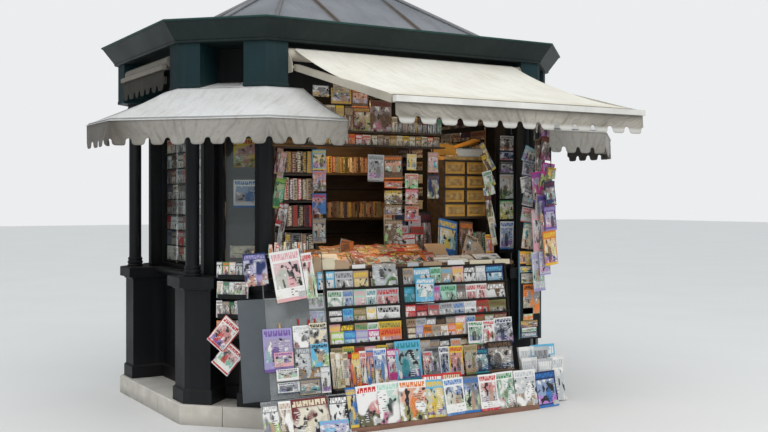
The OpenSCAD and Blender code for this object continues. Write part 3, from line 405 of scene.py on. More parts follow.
def cloth(name, colour, stain, dirt, sheen=0.15, bands=(), ends=()):
    """A material of awning cloth in one colour. A band gives the heights at which another
    tone begins and is full, that tone, and its strength. An end gives the same for distances
    from the kiosk's middle."""
    material, tree, shader = finish(name, Roughness=0.88, Sheen_Weight=sheen, Sheen_Roughness=0.5)
    weave = use(tree, "awning_weave", Cloth=(*colour, 1), Stain=(*stain, 1), Dirt=dirt)
    shade = weave["Colour"]
    x, _, z = axes_of(tree, place_of(tree))
    tones = [(z, band) for band in bands] + [(x.op("ABSOLUTE"), end) for end in ends]
    for measure, (begin, full, tone, strength) in tones:
        shade = mix(tree, measure.ramp(begin, full, 0, strength), shade, (*tone, 1))
    feed(shader, Base_Color=shade, Normal=weave["Normal"])
    return material


def hush():
    """Leaves edit mode with nothing selected."""
    if bpy.context.object and bpy.context.object.mode != "OBJECT":
        bpy.ops.object.mode_set(mode="OBJECT")
    bpy.ops.object.select_all(action="DESELECT")


def woven_grid(name, across, down, place, material):
    """A sheet of cloth: a grid whose points go where place(column, row) puts them. Its UV
    map measures the cloth in metres along its own columns and rows."""
    hush()
    bpy.ops.mesh.primitive_grid_add(x_subdivisions=across, y_subdivisions=down, size=1)
    piece = bpy.context.object
    piece.name = name
    mesh = piece.data
    spots = {}
    for vertex in mesh.vertices:
        column = round((vertex.co.x + 0.5) * across)
        row = round((vertex.co.y + 0.5) * down)
        spots[column, row] = Vector(place(column, row))
        vertex.co = spots[column, row]
    reach, fall = dict.fromkeys(spots, 0.0), dict.fromkeys(spots, 0.0)
    for column, row in sorted(spots):
        spot = spots[column, row]
        if column:
            before = column - 1, row
            reach[column, row] = reach[before] + (spot - spots[before]).length
        if row:
            above = column, row - 1
            fall[column, row] = fall[above] + (spot - spots[above]).length
    layer = mesh.uv_layers.active or mesh.uv_layers.new(name="UVMap")
    for loop in mesh.loops:
        s, t = layer.data[loop.index].uv
        key = (round(s * across), round(t * down))
        middle = reach[across, key[1]] / 2
        layer.data[loop.index].uv = (reach[key] - middle, fall[key])
    mesh.materials.append(material)
    mesh.shade_smooth()
    thicken = piece.modifiers.new("thickness", "SOLIDIFY")
    thicken.thickness = CLOTH_THICK
    thicken.offset = 0
    bpy.ops.object.modifier_apply(modifier=thicken.name)
    return piece


def ripple(x, y, z=0.0):
    """Smooth noise about zero."""
    return noise.noise(Vector((x, y, z)))


def box_of(name):
    """The low and the high corner of a CAD node."""
    return [Vector(corner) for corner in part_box(name)]


# Cloth of the front awning: one sheet, cut to width, from the roller to a hem in the front
# bar. It hangs slack between them, drawn tight along the roller and the bar. Just above the
# bar a dark line is painted on the cloth: a painted shadow of the gap between cloth and bar.
CLOTH_THICK = 0.0016
CLOTH_CREAM = (0.80, 0.775, 0.69)
CLOTH_BROWN = (0.42, 0.34, 0.22)
HEM_YELLOW = (0.62, 0.57, 0.42)
HEM_PAINTED_SHADOW = (0.10, 0.08, 0.06)
AWNING_SAG = 0.052
AWNING_COLUMNS, AWNING_ROWS = 96, 56
END_GAP = 0.022
cloth_high = box_of("awning_cloth")[1]
bar_low, bar_high = box_of("awning_front_bar")
awning_half = (bar_high.x - bar_low.x) / 2 - END_GAP
awning_head = Vector((0, cloth_high.y - 0.004, cloth_high.z - 0.002))
awning_foot = Vector((0, bar_low.y + 0.036, bar_high.z + 0.004))


def awning_point(column, row):
    s = 2 * column / AWNING_COLUMNS - 1
    t = row / AWNING_ROWS
    slack = 4 * t * (1 - t)
    point = awning_head.lerp(awning_foot, t)
    half = awning_half - 0.004 * slack
    hang = AWNING_SAG * (0.82 + 0.18 * s * s)
    folds = 0.006 * ripple(s * 3.1, t * 2.3) + 0.0035 * ripple(s * 11, t * 1.4, 4)
    point.z += -slack * hang + slack ** 0.6 * folds
    edge_roll = max(0.0, abs(s) - 0.985) / 0.015
    point.z -= 0.006 * edge_roll * edge_roll
    point.x = s * half
    return point


# Bands: a yellowish band near the hem, and below it a painted shadow line just above the bar.
sheet_cloth = cloth("awning_cloth", CLOTH_CREAM, CLOTH_BROWN, 0.42, bands=(
    (bar_high.z + 0.050, bar_high.z + 0.036, HEM_YELLOW, 0.6),
    (bar_high.z + 0.017, bar_high.z + 0.013, HEM_PAINTED_SHADOW, 0.9)))
awning_cloth = woven_grid("awning_sheet", AWNING_COLUMNS, AWNING_ROWS, awning_point, sheet_cloth)
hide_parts("awning_cloth")
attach(awning_cloth, "root")


def scallop_line(length, count, drop):
    """Positions along a valance and the depth of its lower edge at each of them."""
    notch, notch_h, corner = 0.021, 0.046, 0.026
    pitch = length / count
    line = []
    for k in range(count):
        for a in (0, 30, 60, 80):
            u = notch * math.sin(math.radians(a))
            line.append((k * pitch + u, drop - notch_h + notch * (1 - math.cos(math.radians(a)))))
        for a in (0, 30, 60, 90):
            u = notch + corner * (1 - math.cos(math.radians(a)))
            line.append((k * pitch + u, drop - corner * (1 - math.sin(math.radians(a)))))
        line.append(((k + 0.5) * pitch, drop))
        for u, depth in [(p - k * pitch, d) for p, d in line[-2:-9:-1]]:
            line.append(((k + 1) * pitch - u, depth))
    line.append((length, drop - notch_h))
    return line


def valance(name, length, count, drop, stand, material, rows=9):
    """A scalloped valance. stand(u, depth) gives the place of a point u along it and so far
    down."""
    line = scallop_line(length, count, drop)

    def point(column, row):
        u, depth = line[column]
        return stand(u, depth * row / rows)

    return woven_grid(name, len(line) - 1, rows, point, material)


# Valance of the front awning: a scalloped strip of the same cloth, sewn along the bar, grey
# with dirt that has run down between its soft upright creases. It is painted darker towards
# the top, and its scalloped foot is painted paler as a painted highlight.
valance_low, valance_high = box_of("awning_valance")
awning_drop = valance_high.z - valance_low.z


def awning_valance_point(u, depth):
    x = valance_low.x + u
    loose = depth / awning_drop
    crease = 0.012 * ripple(x * 9, depth * 1.5) + 0.0045 * ripple(x * 27, depth * 2.5, 3)
    y = (valance_low.y + valance_high.y) / 2 + loose * crease - 0.010 * loose * loose
    return (x, y, bar_low.z + 0.002 - depth)


# Bands: a painted highlight on the scalloped foot, and a darker tone towards the top.
valance_cloth = cloth("valance_cloth", (0.35, 0.325, 0.28), (0.11, 0.095, 0.075), 1.2, bands=(
    (valance_low.z + 0.045, valance_low.z + 0.026, (0.58, 0.57, 0.54), 0.7),
    (valance_high.z - 0.050, valance_high.z - 0.010, (0.17, 0.155, 0.13), 0.6)))
awning_valance = valance("awning_scallops", valance_high.x - valance_low.x, 13, awning_drop,
                         awning_valance_point, valance_cloth)
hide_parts("awning_valance")
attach(awning_valance, "root")

# Rolled awnings under the cornice at the two sides: a cream roller and bar, painted dark as
# painted shade under the cornice, and a valance that hangs down from the bar, near black from
# its own dark cloth and from painted shade under the cornice.
# The roller's dark paint is painted shade on a cream roller.
dress(paint("side_roll_painted_shade", (0.23, 0.21, 0.175), 0.5, 0.8, (0.09, 0.08, 0.065, 1)), "side_awnings")
side_low, side_high = box_of("side_valances")
side_drop = side_high.z - side_low.z
side_length = side_high.y - side_low.y
# Near black: a dark cloth, painted darker still as painted shade under the cornice.
side_cloth_and_painted_shade = cloth("side_valance_cloth_and_painted_shade", (0.040, 0.036, 0.028), (0.012, 0.010, 0.008), 0.9, 0.0)
for side, x in (("left", side_low.x), ("right", side_high.x)):
    out = -1 if side == "left" else 1

    def side_valance_point(u, depth):
        y = side_low.y + u
        loose = depth / side_drop
        crease = 0.012 * ripple(y * 7, depth * 3, out) + 0.004 * ripple(y * 29, depth * 8, out)
        return (x - out * 0.002 + out * loose * crease, y, side_high.z + 0.001 - depth)

    piece = valance(side + "_side_scallops", side_length, 7, side_drop, side_valance_point,
                    side_cloth_and_painted_shade)
    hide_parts("side_valances")
    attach(piece, "root")

# Corner canopies: a hipped sheet over a tube frame, taut from the corner boxes down to the
# hem tube, with a tongue that runs in between the two boxes. A scalloped valance hangs from
# the hem, and its spare cloth is gathered into folds at the two corners. Towards the kiosk's
# sides the valance is painted near black as painted shade.
dress(paint("canopy_tube", (0.32, 0.33, 0.33), 0.45, 0.7, (0.15, 0.14, 0.12, 1)), "canopy_frames")
CANOPY_HEM_Z = 2.148
CANOPY_HEAD_Z = 2.402
CANOPY_DROP = 0.174
HEM = [Vector(p) for p in ((-2.245, -0.393), (-2.245, -0.968), (-1.443, -1.770), (-0.868, -1.770))]
HEAD = [Vector(p) for p in ((-1.686, -0.447), (-1.686, -0.737), (-1.212, -1.211), (-0.922, -1.211))]
CANOPY_PANELS = (14, 30, 14)
CANOPY_ROWS = 22
canopy_cloth = cloth("canopy_cloth", (0.66, 0.665, 0.66), (0.30, 0.27, 0.22), 0.5)
# The valance's ends paint it near black towards the sides: painted shade on the runs that face the
# sides.
canopy_valance_cloth_and_painted_shade = cloth("canopy_valance_cloth_and_painted_shade", (0.31, 0.295, 0.265), (0.13, 0.115, 0.095),
                             0.9, ends=((2.05, 2.235, (0.065, 0.052, 0.040), 0.85),))


def along_panels(column):
    """The panel that a column of the canopy lies in, and how far along it."""
    for panel, count in enumerate(CANOPY_PANELS):
        if column <= count:
            return panel, column / count
        column -= count


def canopy_point(column, row):
    panel, s = along_panels(column)
    t = row / CANOPY_ROWS
    rim = HEM[panel].lerp(HEM[panel + 1], s)
    head = HEAD[panel].lerp(HEAD[panel + 1], s)
    plan = rim.lerp(head, t)
    outward = (rim - head).normalized()
    slack = 4 * t * (1 - t)
    ridge = min(s, 1 - s) if panel == 1 else (1 - s if panel == 0 else s)
    ridge = min(1.0, ridge * 5)
    z = CANOPY_HEM_Z + (CANOPY_HEAD_Z - CANOPY_HEM_Z) * t
    z -= slack * (0.004 + 0.013 * ridge)
    folds = 0.0045 * ripple(plan.x * 6, plan.y * 6) + 0.0025 * ripple(plan.x * 19, plan.y * 19, 5)
    z += slack ** 0.5 * folds
    pucker = math.exp(-((ridge / 0.22) ** 2)) * math.exp(-(((t - 0.62) / 0.12) ** 2))
    z += 0.006 * pucker * math.sin(ridge * 24)
    over = max(0.0, 1 - row / 3)
    plan += outward * 0.006 * math.sin(math.pi * over / 2)
    z -= 0.012 * over * over
    return (plan.x, plan.y, z)


TONGUE_COLUMNS, TONGUE_ROWS = 16, 8
TONGUE_SIDE = 0.172
TONGUE_RUN = 0.319
TONGUE_RISE = 0.219
TONGUE_LAP = 0.012


def tongue_point(column, row):
    s, t = column / TONGUE_COLUMNS, row / TONGUE_ROWS
    along = (HEAD[2] - HEAD[1]).normalized()
    inward = Vector((1, 1)).normalized()
    start, end = HEAD[1] + along * TONGUE_SIDE, HEAD[2] - along * TONGUE_SIDE
    depth = TONGUE_RUN * t - TONGUE_LAP
    plan = start.lerp(end, s) + inward * depth
    z = CANOPY_HEAD_Z + TONGUE_RISE * depth + 0.002
    z -= 0.010 * 4 * s * (1 - s) * 4 * t * (1 - t)
    return (plan.x, plan.y, z)


# Each run of the canopy's valance: its ends, its scallops, and at which ends it is gathered
VALANCE_RUNS = ((HEM[0], HEM[1], 4, (1,)), (HEM[1], HEM[2], 8, (0, 1)), (HEM[2], HEM[3], 4, (0,)))


def canopy_valance_point(run, u, depth):
    start, end, _, gathers = VALANCE_RUNS[run]
    length = (end - start).length
    along = (end - start).normalized()
    outward = Vector((along.y, -along.x))
    loose = depth / CANOPY_DROP
    # Folds that fan out from a corner where the cloth is gathered
    fan = 0.0
    for gather in gathers:
        away = abs(u - gather * length)
        angle = math.atan2(away, depth + 0.012)
        near = math.exp(-((away / 0.16) ** 2))
        fan += near * loose * (0.017 * math.sin(angle * 11) - 0.006)
    wave = 0.011 * ripple(u * 6 + run * 9, depth * 3) + 0.004 * ripple(u * 27, depth * 8, run)
    # A line of stitching draws the cloth in above the scallops
    stitch = -0.0022 * math.exp(-(((depth - 0.112) / 0.005) ** 2))
    plan = start + along * u + outward * (loose * wave + fan + stitch - 0.003)
    return (plan.x, plan.y, CANOPY_HEM_Z - 0.004 - depth)


def copy_of(master, placing):
    """A copy of a piece with its own mesh, put in place by a matrix."""
    piece = bpy.data.objects.new(master.name, master.data.copy())
    scene.collection.objects.link(piece)
    piece.data.transform(placing)
    return piece


def mirrored(piece, name):
    """A copy of a piece for the other side of the kiosk."""
    twin = copy_of(piece, Matrix.Scale(-1, 4, (1, 0, 0)))
    twin.name = name
    twin.data.flip_normals()
    return twin


def joined(name, pieces):
    """Joins pieces into one object with one mesh."""
    hush()
    for piece in pieces:
        piece.select_set(True)
    bpy.context.view_layer.objects.active = pieces[0]
    if len(pieces) > 1:
        bpy.ops.object.join()
    whole = bpy.context.object
    whole.name = name
    whole.data.name = name
    return whole


top = woven_grid("canopy_slopes", sum(CANOPY_PANELS), CANOPY_ROWS, canopy_point, canopy_cloth)
tongue = woven_grid("canopy_tongue", TONGUE_COLUMNS, TONGUE_ROWS, tongue_point, canopy_cloth)
left_canopy = joined("left_canopy_sheet", [top, tongue])
runs = []
for run, (start, end, count, _) in enumerate(VALANCE_RUNS):
    runs.append(valance("run", (end - start).length, count, CANOPY_DROP,
                        lambda u, depth, run=run: canopy_valance_point(run, u, depth),
                        canopy_valance_cloth_and_painted_shade, rows=12))
left_hem = joined("left_canopy_scallops", runs)
right_canopy = mirrored(left_canopy, "right_canopy_sheet")
right_hem = mirrored(left_hem, "right_canopy_scallops")
for side, sheet, hem in (("left", left_canopy, left_hem), ("right", right_canopy, right_hem)):
    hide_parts(side + "_corner_canopy")
    for piece, material_slot in ((sheet, "awning_cloth"), (hem, "valance_cloth")):
        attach(piece, "root")

# Wood of the counter, shelves and boards, sawn along the kiosk's length and oiled dark. Its
# long fibres run with x, and handling has left it a little glossier in patches.
tree, given, result = effect("sawn_wood", {
    "Light": (0.3, 0.18, 0.1, 1), "Dark": (0.1, 0.05, 0.03, 1), "Gloss": 0.5,
}, {"Colour": "Color", "Roughness": "Float", "Normal": "Vector"})
where = place_of(tree)
rings = cloud(tree, where, 4, 5, (1, 7, 7))
fibre = cloud(tree, where, 26, 4, (1, 16, 16))
colour = mix(tree, rings.ramp(0.35, 0.65), given["Light"], given["Dark"])
plug(result["Colour"], mix(tree, fibre.ramp(0.45, 0.7, 0, 0.5), colour, given["Dark"]))
plug(result["Roughness"], Field(given["Gloss"]) + fibre.ramp(0.3, 0.7, 0, 0.15))
plug(result["Normal"], relief(tree, fibre + rings * 0.4, 0.0015))


def wood(name, light, dark, gloss):
    """A material of oiled or painted wood in two tones."""
    return coated(name, "sawn_wood", {"Light": (*light, 1), "Dark": (*dark, 1), "Gloss": gloss})


dress(wood("counter_wood", (0.22, 0.12, 0.06), (0.08, 0.04, 0.02), 0.4), "counter_top")
dress(wood("board_wood", (0.30, 0.15, 0.10), (0.15, 0.075, 0.05), 0.6), "display_base")
shelf_wood = wood("shelf_wood", (0.07, 0.045, 0.028), (0.03, 0.02, 0.014), 0.55)
dress(shelf_wood, "rear_shelves", "book_shelf", "overhead_shelves")
dress(wood("box_wood", (0.075, 0.050, 0.030), (0.022, 0.015, 0.010), 0.5), "box_shelf")

# Step and leaning rack of the display: a back sheet with rails and posts screwed on it, all
# painted near black.
dress(paint("rack_paint", (0.022, 0.019, 0.016), 0.45, 0.14), "display_step", "display_rack")

# Wire stand of bare drawn steel, and corner rack of the same wire lacquered black. Both are
# bent and spot welded.
dress(paint("bare_wire", (0.24, 0.245, 0.25), 0.35, 0.4, Metallic=0.6), "wire_stand")
rack_wire = paint("rack_wire", (0.008, 0.009, 0.010), 0.4, 0.2)
dress(rack_wire, "corner_wire_rack")


def block(name, low, high, *materials):
    """A box between two corners, to be shaped further."""
    hush()
    low, high = Vector(low), Vector(high)
    bpy.ops.mesh.primitive_cube_add(size=1, location=(low + high) / 2, scale=high - low)
    bpy.ops.object.transform_apply(location=True, rotation=True, scale=True)
    piece = bpy.context.object
    piece.name = name
    for material in materials:
        piece.data.materials.append(material)
    return piece


def pick(piece, test=lambda p: True):
    """Opens a piece in edit mode with the points selected that pass a test."""
    bpy.context.view_layer.objects.active = piece
    bpy.ops.object.mode_set(mode="OBJECT")
    for part in (*piece.data.edges, *piece.data.polygons):
        part.select = False
    for vertex in piece.data.vertices:
        vertex.select = test(vertex.co)
    scene.tool_settings.mesh_select_mode = (True, False, False)
    bpy.ops.object.mode_set(mode="EDIT")


def pick_faces(piece, test):
    """Opens a piece in edit mode with the faces selected whose centre and normal pass."""
    bpy.context.view_layer.objects.active = piece
    bpy.ops.object.mode_set(mode="OBJECT")
    for part in (*piece.data.vertices, *piece.data.edges):
        part.select = False
    for face in piece.data.polygons:
        face.select = test(face.center, face.normal)
    scene.tool_settings.mesh_select_mode = (False, False, True)
    bpy.ops.object.mode_set(mode="EDIT")


# Clear plastic: a clear sheet and a frosted grey one, clipped side by side on the wire stand,
# and the low easel, folded from one sheet. Handling has left a haze and fine scratches.
def plastic(name, colour, cover, rough):
    """Plastic that hides the share given of what lies behind it, more where it is hazy."""
    material, tree, shader = finish(name, Base_Color=(*colour, 1))
    haze = cloud(tree, place_of(tree), 4, 5)
    scratch = cloud(tree, place_of(tree), 60, 3, (1, 1, 0.05)).ramp(0.5, 0.7, 0, 0.1)
    feed(shader, Alpha=haze.ramp(0.35, 0.65, cover - 0.07, cover + 0.07),
         Roughness=scratch + haze.ramp(0.4, 0.7, rough, rough + 0.1))
    return material


STAND_SLOPE = math.radians(9)
STAND_Y, STAND_Z = -1.430, 0.004
SHEET_FOOT, SHEET_TOP = 0.24, 0.93
stand_lean = Matrix.Translation((0, STAND_Y, STAND_Z)) @ Matrix.Rotation(-STAND_SLOPE, 4, "X")
for name, left, right, clear in (
        ("clear_sheet", -1.2623, -0.7963, plastic("clear_plastic", (0.66, 0.70, 0.72), 0.17, 0.12)),
        ("grey_sheet", -1.4640, -1.2663, plastic("grey_plastic", (0.10, 0.115, 0.13), 0.84, 0.4))):
    piece = block(name, (left, -0.0093, SHEET_FOOT), (right, -0.0043, SHEET_TOP), clear)
    pick(piece)
    bpy.ops.mesh.bevel(offset=0.0012, segments=2)
    hush()
    piece.data.transform(stand_lean)
    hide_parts("clear_sheets")
    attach(piece, "root")
dress(plastic("easel_plastic", (0.62, 0.66, 0.68), 0.22, 0.1), "low_easel")

# Printed covers, all of the builder's own making: a paper ground, a blotchy picture that is
# framed or bleeds into the ground, a head of plain blocks, rows of small bars, a foot strip.
tree, given, result = effect("printed_cover", {
    "Ground": (0.8, 0.8, 0.8, 1), "Accent": (0.5, 0.05, 0.05, 1), "Seed": 0.0,
}, {"Colour": "Color"})
seed = Field(given["Seed"])
spot = add(tree, "UVMap").outputs[0]
u, v, _ = axes_of(tree, spot)


def dice(tree, key):
    """A colour of three chances that stays the same for the same key, and the chances."""
    colour = add(tree, "TexWhiteNoise", {"noise_dimensions": "1D"}, W=key).outputs["Color"]
    return colour, [Field(part) for part in add(tree, "SeparateColor", Color=colour).outputs]


def blots(tree, spot, key, scale):
    """Blotches that differ from key to key."""
    node = add(tree, "TexNoise", {"noise_dimensions": "4D"}, Vector=spot, W=key, Scale=scale,
               Detail=1.2)
    return Field(node.outputs["Fac"])


hue, luck = dice(tree, seed)
more = dice(tree, seed + 0.5)[1]
broad = blots(tree, spot, seed * 3.7, 2.2)
small = blots(tree, spot, seed * 1.3, 5.0)
muted = add(tree, "HueSaturation", Color=hue, Saturation=0.75, Value=0.6).outputs[0]
washed = mix(tree, 0.4, given["Accent"], (0.62, 0.62, 0.60, 1))
skyline = v + (broad - 0.5) * 0.5 > luck[1].ramp(0, 1, 0.25, 0.6)
picture = mix(tree, skyline, muted, washed)
picture = mix(tree, small.ramp(0.58, 0.62), picture, (0.03, 0.028, 0.03, 1))
picture = mix(tree, small.ramp(0.41, 0.38), picture, (0.74, 0.72, 0.68, 1))
away = u - luck[0].ramp(0, 1, 0.32, 0.68)
up = v - 0.34
mass = (away * away * 6.0 + up * up * 2.2 + (small - 0.5) * 0.4) < 0.13
figure = mix(tree, luck[1] > 0.5, (0.05, 0.045, 0.05, 1), (0.46, 0.27, 0.18, 1))
picture = mix(tree, mass * 0.9, picture, mix(tree, more[2] > 0.6, figure, given["Accent"]))
framed = luck[2] > 0.5
inside = (u > 0.07) * (u < 0.93) * (v > luck[1].ramp(0, 1, 0.06, 0.32)) * (v < 0.77)
share = framed * inside + framed.opposite() * (v < 0.8) * broad.ramp(0.42, 0.5)
colour = mix(tree, share, given["Ground"], picture)
step = u * luck[0].ramp(0, 1, 4.2, 8.8)
inner = step.op("FRACT")
kind = dice(tree, step.op("FLOOR") + seed * 5.0)[1][0]
open_end = (v > 0.885) * (kind > 0.5) + (v < 0.875) * (kind < 0.5)
hollow = (inner > 0.28) * (inner < 0.54) * open_end
head = (inner < 0.82) * hollow.opposite() * (v > 0.82) * (v < 0.95) * (u > 0.05) * (u < 0.95)
colour = mix(tree, head, colour, given["Accent"])
line = (v * 19.0).op("FLOOR")
word = (u * 11.0 + line * 3.3).op("FLOOR")
chance = dice(tree, word + line * 17.0 + seed)[1][0]
side = (more[0] > 0.5) * 0.46
bars = ((v * 19.0).op("FRACT") < 0.4) * (chance > 0.6) * (v > 0.1) * (v < 0.72)
bars = bars * (u > side + 0.06) * (u < side + 0.46)
ink = mix(tree, luck[0] > 0.5, (0.82, 0.82, 0.8, 1), (0.02, 0.02, 0.022, 1))
colour = mix(tree, bars * 0.85, colour, ink)
colour = mix(tree, (v < 0.07) * (luck[2] > 0.4), colour, given["Accent"])
code = (u > 0.74) * (v < 0.16) * (v > 0.04) * (more[1] > 0.5)
stripes = mix(tree, (u * 70.0).op("FRACT") < 0.4, (0.8, 0.8, 0.8, 1), (0.02, 0.02, 0.02, 1))
plug(result["Colour"], mix(tree, code, colour, stripes))

material, tree, shader = finish("printed_paper", Roughness=0.38, Coat_Weight=0.15,
                                Coat_Roughness=0.25)
print_inks = {name.title(): add(tree, "Attribute", {"attribute_name": name}).outputs[out]
              for name, out in (("ground", "Color"), ("accent", "Color"), ("seed", "Fac"))}
feed(shader, Base_Color=use(tree, "printed_cover", **print_inks)["Colour"],
     Normal=relief(tree, cloud(tree, place_of(tree), 9, 2), 0.004))
printed_paper = material
material, tree, shader = finish("page_edges", Roughness=0.8)
layers = cloud(tree, place_of(tree), 90, 3)
feed(shader, Base_Color=mix(tree, layers, (0.50, 0.47, 0.40, 1), (0.78, 0.76, 0.70, 1)))
page_edges = material
INKS = {
    "white": (0.82, 0.81, 0.79), "cream": (0.74, 0.66, 0.48), "silver": (0.50, 0.52, 0.54),
    "grey": (0.19, 0.19, 0.20), "black": (0.013, 0.013, 0.015), "red": (0.56, 0.022, 0.02),
    "orange": (0.74, 0.19, 0.02), "yellow": (0.80, 0.54, 0.04), "ochre": (0.58, 0.35, 0.08),
    "olive": (0.20, 0.20, 0.06), "lime": (0.36, 0.54, 0.06), "green": (0.03, 0.24, 0.08),
    "mint": (0.40, 0.66, 0.54), "teal": (0.02, 0.26, 0.30), "sky": (0.12, 0.45, 0.68),
    "blue": (0.03, 0.17, 0.48), "navy": (0.012, 0.03, 0.12), "lilac": (0.34, 0.30, 0.56),
    "purple": (0.16, 0.08, 0.32), "magenta": (0.55, 0.03, 0.24), "pink": (0.74, 0.38, 0.42),
    "tan": (0.46, 0.32, 0.20), "brown": (0.15, 0.08, 0.04), "maroon": (0.16, 0.02, 0.025),
}


def print_map(piece):
    """Maps the print square on to each side of a piece, as seen from that side."""
    hush()
    spots = [vertex.co for vertex in piece.data.vertices]
    low = [min(spot[k] for spot in spots) for k in range(3)]
    high = [max(spot[k] for spot in spots) for k in range(3)]
    layer = piece.data.uv_layers.active
    for face in piece.data.polygons:
        n = [abs(part) for part in face.normal]
        a, b = ((1, 2), (0, 2), (0, 1))[n.index(max(n))]
        for loop in face.loop_indices:
            spot = spots[piece.data.loops[loop].vertex_index]
            layer.data[loop].uv = ((spot[a] - low[a]) / (high[a] - low[a]),
                                   (spot[b] - low[b]) / (high[b] - low[b]))


def lay(master, size, place, words, lean=0.0, roll=0.0, yaw=0.0, crop=(0.0, 1.0), spine=False):
    """A copy of a master: its width, thickness and height, the middle of its foot at the
    back, the two inks of its cover, and how it leans back, rolls sideways and turns."""
    scale = Matrix.Diagonal([*(new / old for new, old in zip(size, master["size"])), 1])
    turn = Euler([math.radians(part) for part in (-lean, roll, yaw)])
    piece = copy_of(master, Matrix.Translation(place) @ turn.to_matrix().to_4x4() @ scale)
    mesh = piece.data
    ground, accent = words.split("-")
    count = len(mesh.vertices)
    for name, values in (("ground", INKS[ground]), ("accent", INKS[accent])):
        layer = mesh.attributes.new(name, "FLOAT_COLOR", "POINT")
        layer.data.foreach_set("color", [*values, 1] * count)
    layer = mesh.attributes.new("seed", "FLOAT", "POINT")
    layer.data.foreach_set("value", [round(random.uniform(1, 400), 2)] * count)
    for corner in mesh.uv_layers.active.data:
        s, t = corner.uv
        if spine:
            s, t = t, s
        corner.uv = (s, crop[0] + (crop[1] - crop[0]) * t)
    return piece


def rank(master, words, start, end, height, thick, lean, crop=(0.0, 1.0), spill=1.0, spread=1.2,
         spine=False, turn=0.0, vary=0.06):
    """Copies of a master side by side between two points, as seen from in front. A star after
    a word gives its share of the width, and spill above 1 lets neighbours overlap."""
    start, end = Vector(start), Vector(end)
    along = end - start
    yaw = math.degrees(math.atan2(along.y, along.x)) + turn
    out = Vector((along.y, -along.x, 0)).normalized()
    shares = [float(word.partition("*")[2] or 1) for word in words.split()]
    pieces = []
    reached = 0.0
    for k, (word, share) in enumerate(zip(words.split(), shares)):
        width = along.length * share / sum(shares) * spill * random.uniform(0.94, 0.99)
        spot = start.lerp(end, (reached + share / 2) / sum(shares))
        spot += out * ((k % 2) * (thick + 0.001) * (spill > 1) + random.uniform(0, 0.001))
        size = (width, thick, height * random.uniform(1 - vary, 1.0))
        pieces.append(lay(master, size, spot, word.partition("*")[0],
                          lean + random.uniform(0, 0.8), random.uniform(-spread, spread),
                          yaw + random.uniform(-spread, spread) * 0.6, crop, spine))
        reached += share
    return pieces


def line_up(master, words, left, right, y, foot, *sizes, **options):
    """A rank between two x, parallel to the kiosk's front."""
    return rank(master, words, (left, y, foot), (right, y, foot), *sizes, **options)


def stand_up(master, words, left, right, y, foot, thick, height, *turns, **options):
    """One copy of a master that fills the width between two x."""
    size, place = (right - left, thick, height), ((left + right) / 2, y, foot)
    return lay(master, size, place, words, *turns, **options)


def shelve(name, pieces):
    """Joins pieces of stock into one, and gives it its body."""
    whole = joined(name, pieces)
    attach(whole, "root")


def coat(piece, index=1):
    """Gives the faces selected another of the piece's materials."""
    piece.active_material_index = index
    bpy.ops.object.material_slot_assign()


# Masters of the stock. A magazine is a folded sheaf that bows a little, with one corner that
# curls forward. A comic is a thin flat booklet, and a book has two boards, a rounded back and
# a block of pages.
magazine = block("magazine", (-0.105, -0.004, 0), (0.105, 0, 0.28), printed_paper, page_edges)
pick_faces(magazine, lambda centre, n: n.x > 0.5 or abs(n.z) > 0.5)
coat(magazine)
bpy.ops.mesh.select_all(action="SELECT")
bpy.ops.mesh.subdivide(number_cuts=2)
pick(magazine, lambda p: p.x > 0.1 and p.z > 0.27)
bpy.ops.transform.translate(value=(0, -0.006, -0.001))
pick(magazine, lambda p: abs(p.x) < 0.05 and 0.05 < p.z < 0.2)
bpy.ops.transform.translate(value=(0, -0.0016, 0))
print_map(magazine)
magazine["size"] = (0.21, 0.004, 0.28)
comic = block("comic", (-0.08, -0.004, 0), (0.08, 0, 0.17), printed_paper, page_edges)
pick_faces(comic, lambda centre, n: n.x > 0.5 or abs(n.z) > 0.5)
bpy.ops.mesh.inset(thickness=0.0006, depth=-0.0006)
coat(comic)
print_map(comic)
comic["size"] = (0.16, 0.004, 0.17)
book = block("book", (-0.016, -0.13, 0), (0.016, 0, 0.2), printed_paper, page_edges)
pick_faces(book, lambda centre, n: n.y > 0.5 or abs(n.z) > 0.5)
bpy.ops.mesh.inset(thickness=0.0025, depth=-0.003)
coat(book)
pick(book, lambda p: p.y < -0.129)
bpy.ops.mesh.select_mode(type="EDGE")
bpy.ops.mesh.bevel(offset=0.004, segments=2)
print_map(book)
book["size"] = (0.032, 0.13, 0.2)


def score(piece, *depths):
    """Cuts a line right along a piece at each depth."""
    pick(piece)
    for y in depths:
        bpy.ops.mesh.bisect(plane_co=(0, y, 0), plane_no=(0, 1, 0))
        bpy.ops.mesh.select_all(action="SELECT")


def pull(*offset):
    """Draws the faces selected out of a piece."""
    bpy.ops.mesh.extrude_region_move(TRANSFORM_OT_translate={"value": offset})


# Magazines behind the glass of the left window: channels of folded steel run across it, and
# rows of magazines stand in them with their covers to the street.
random.seed(11)
CHANNEL_LENGTH = 1.17
channel = block("channel", (-CHANNEL_LENGTH / 2, -0.020, -0.002), (CHANNEL_LENGTH / 2, 0, 0),
                rack_wire)
score(channel, -0.0185, -0.0015)
pick_faces(channel, lambda centre, n: n.z > 0.5 and centre.y < -0.0185)
pull(0, 0, 0.010)
pick_faces(channel, lambda centre, n: n.z > 0.5 and centre.y > -0.0015)
pull(0, 0, 0.040)
hush()


def place_channel(place, yaw, length):
    """A channel cut to length, with the middle of its back at a place."""
    turn = Matrix.Translation(place) @ Matrix.Rotation(math.radians(yaw), 4, "Z")
    return copy_of(channel, turn @ Matrix.Diagonal((length / CHANNEL_LENGTH, 1, 1, 1)))


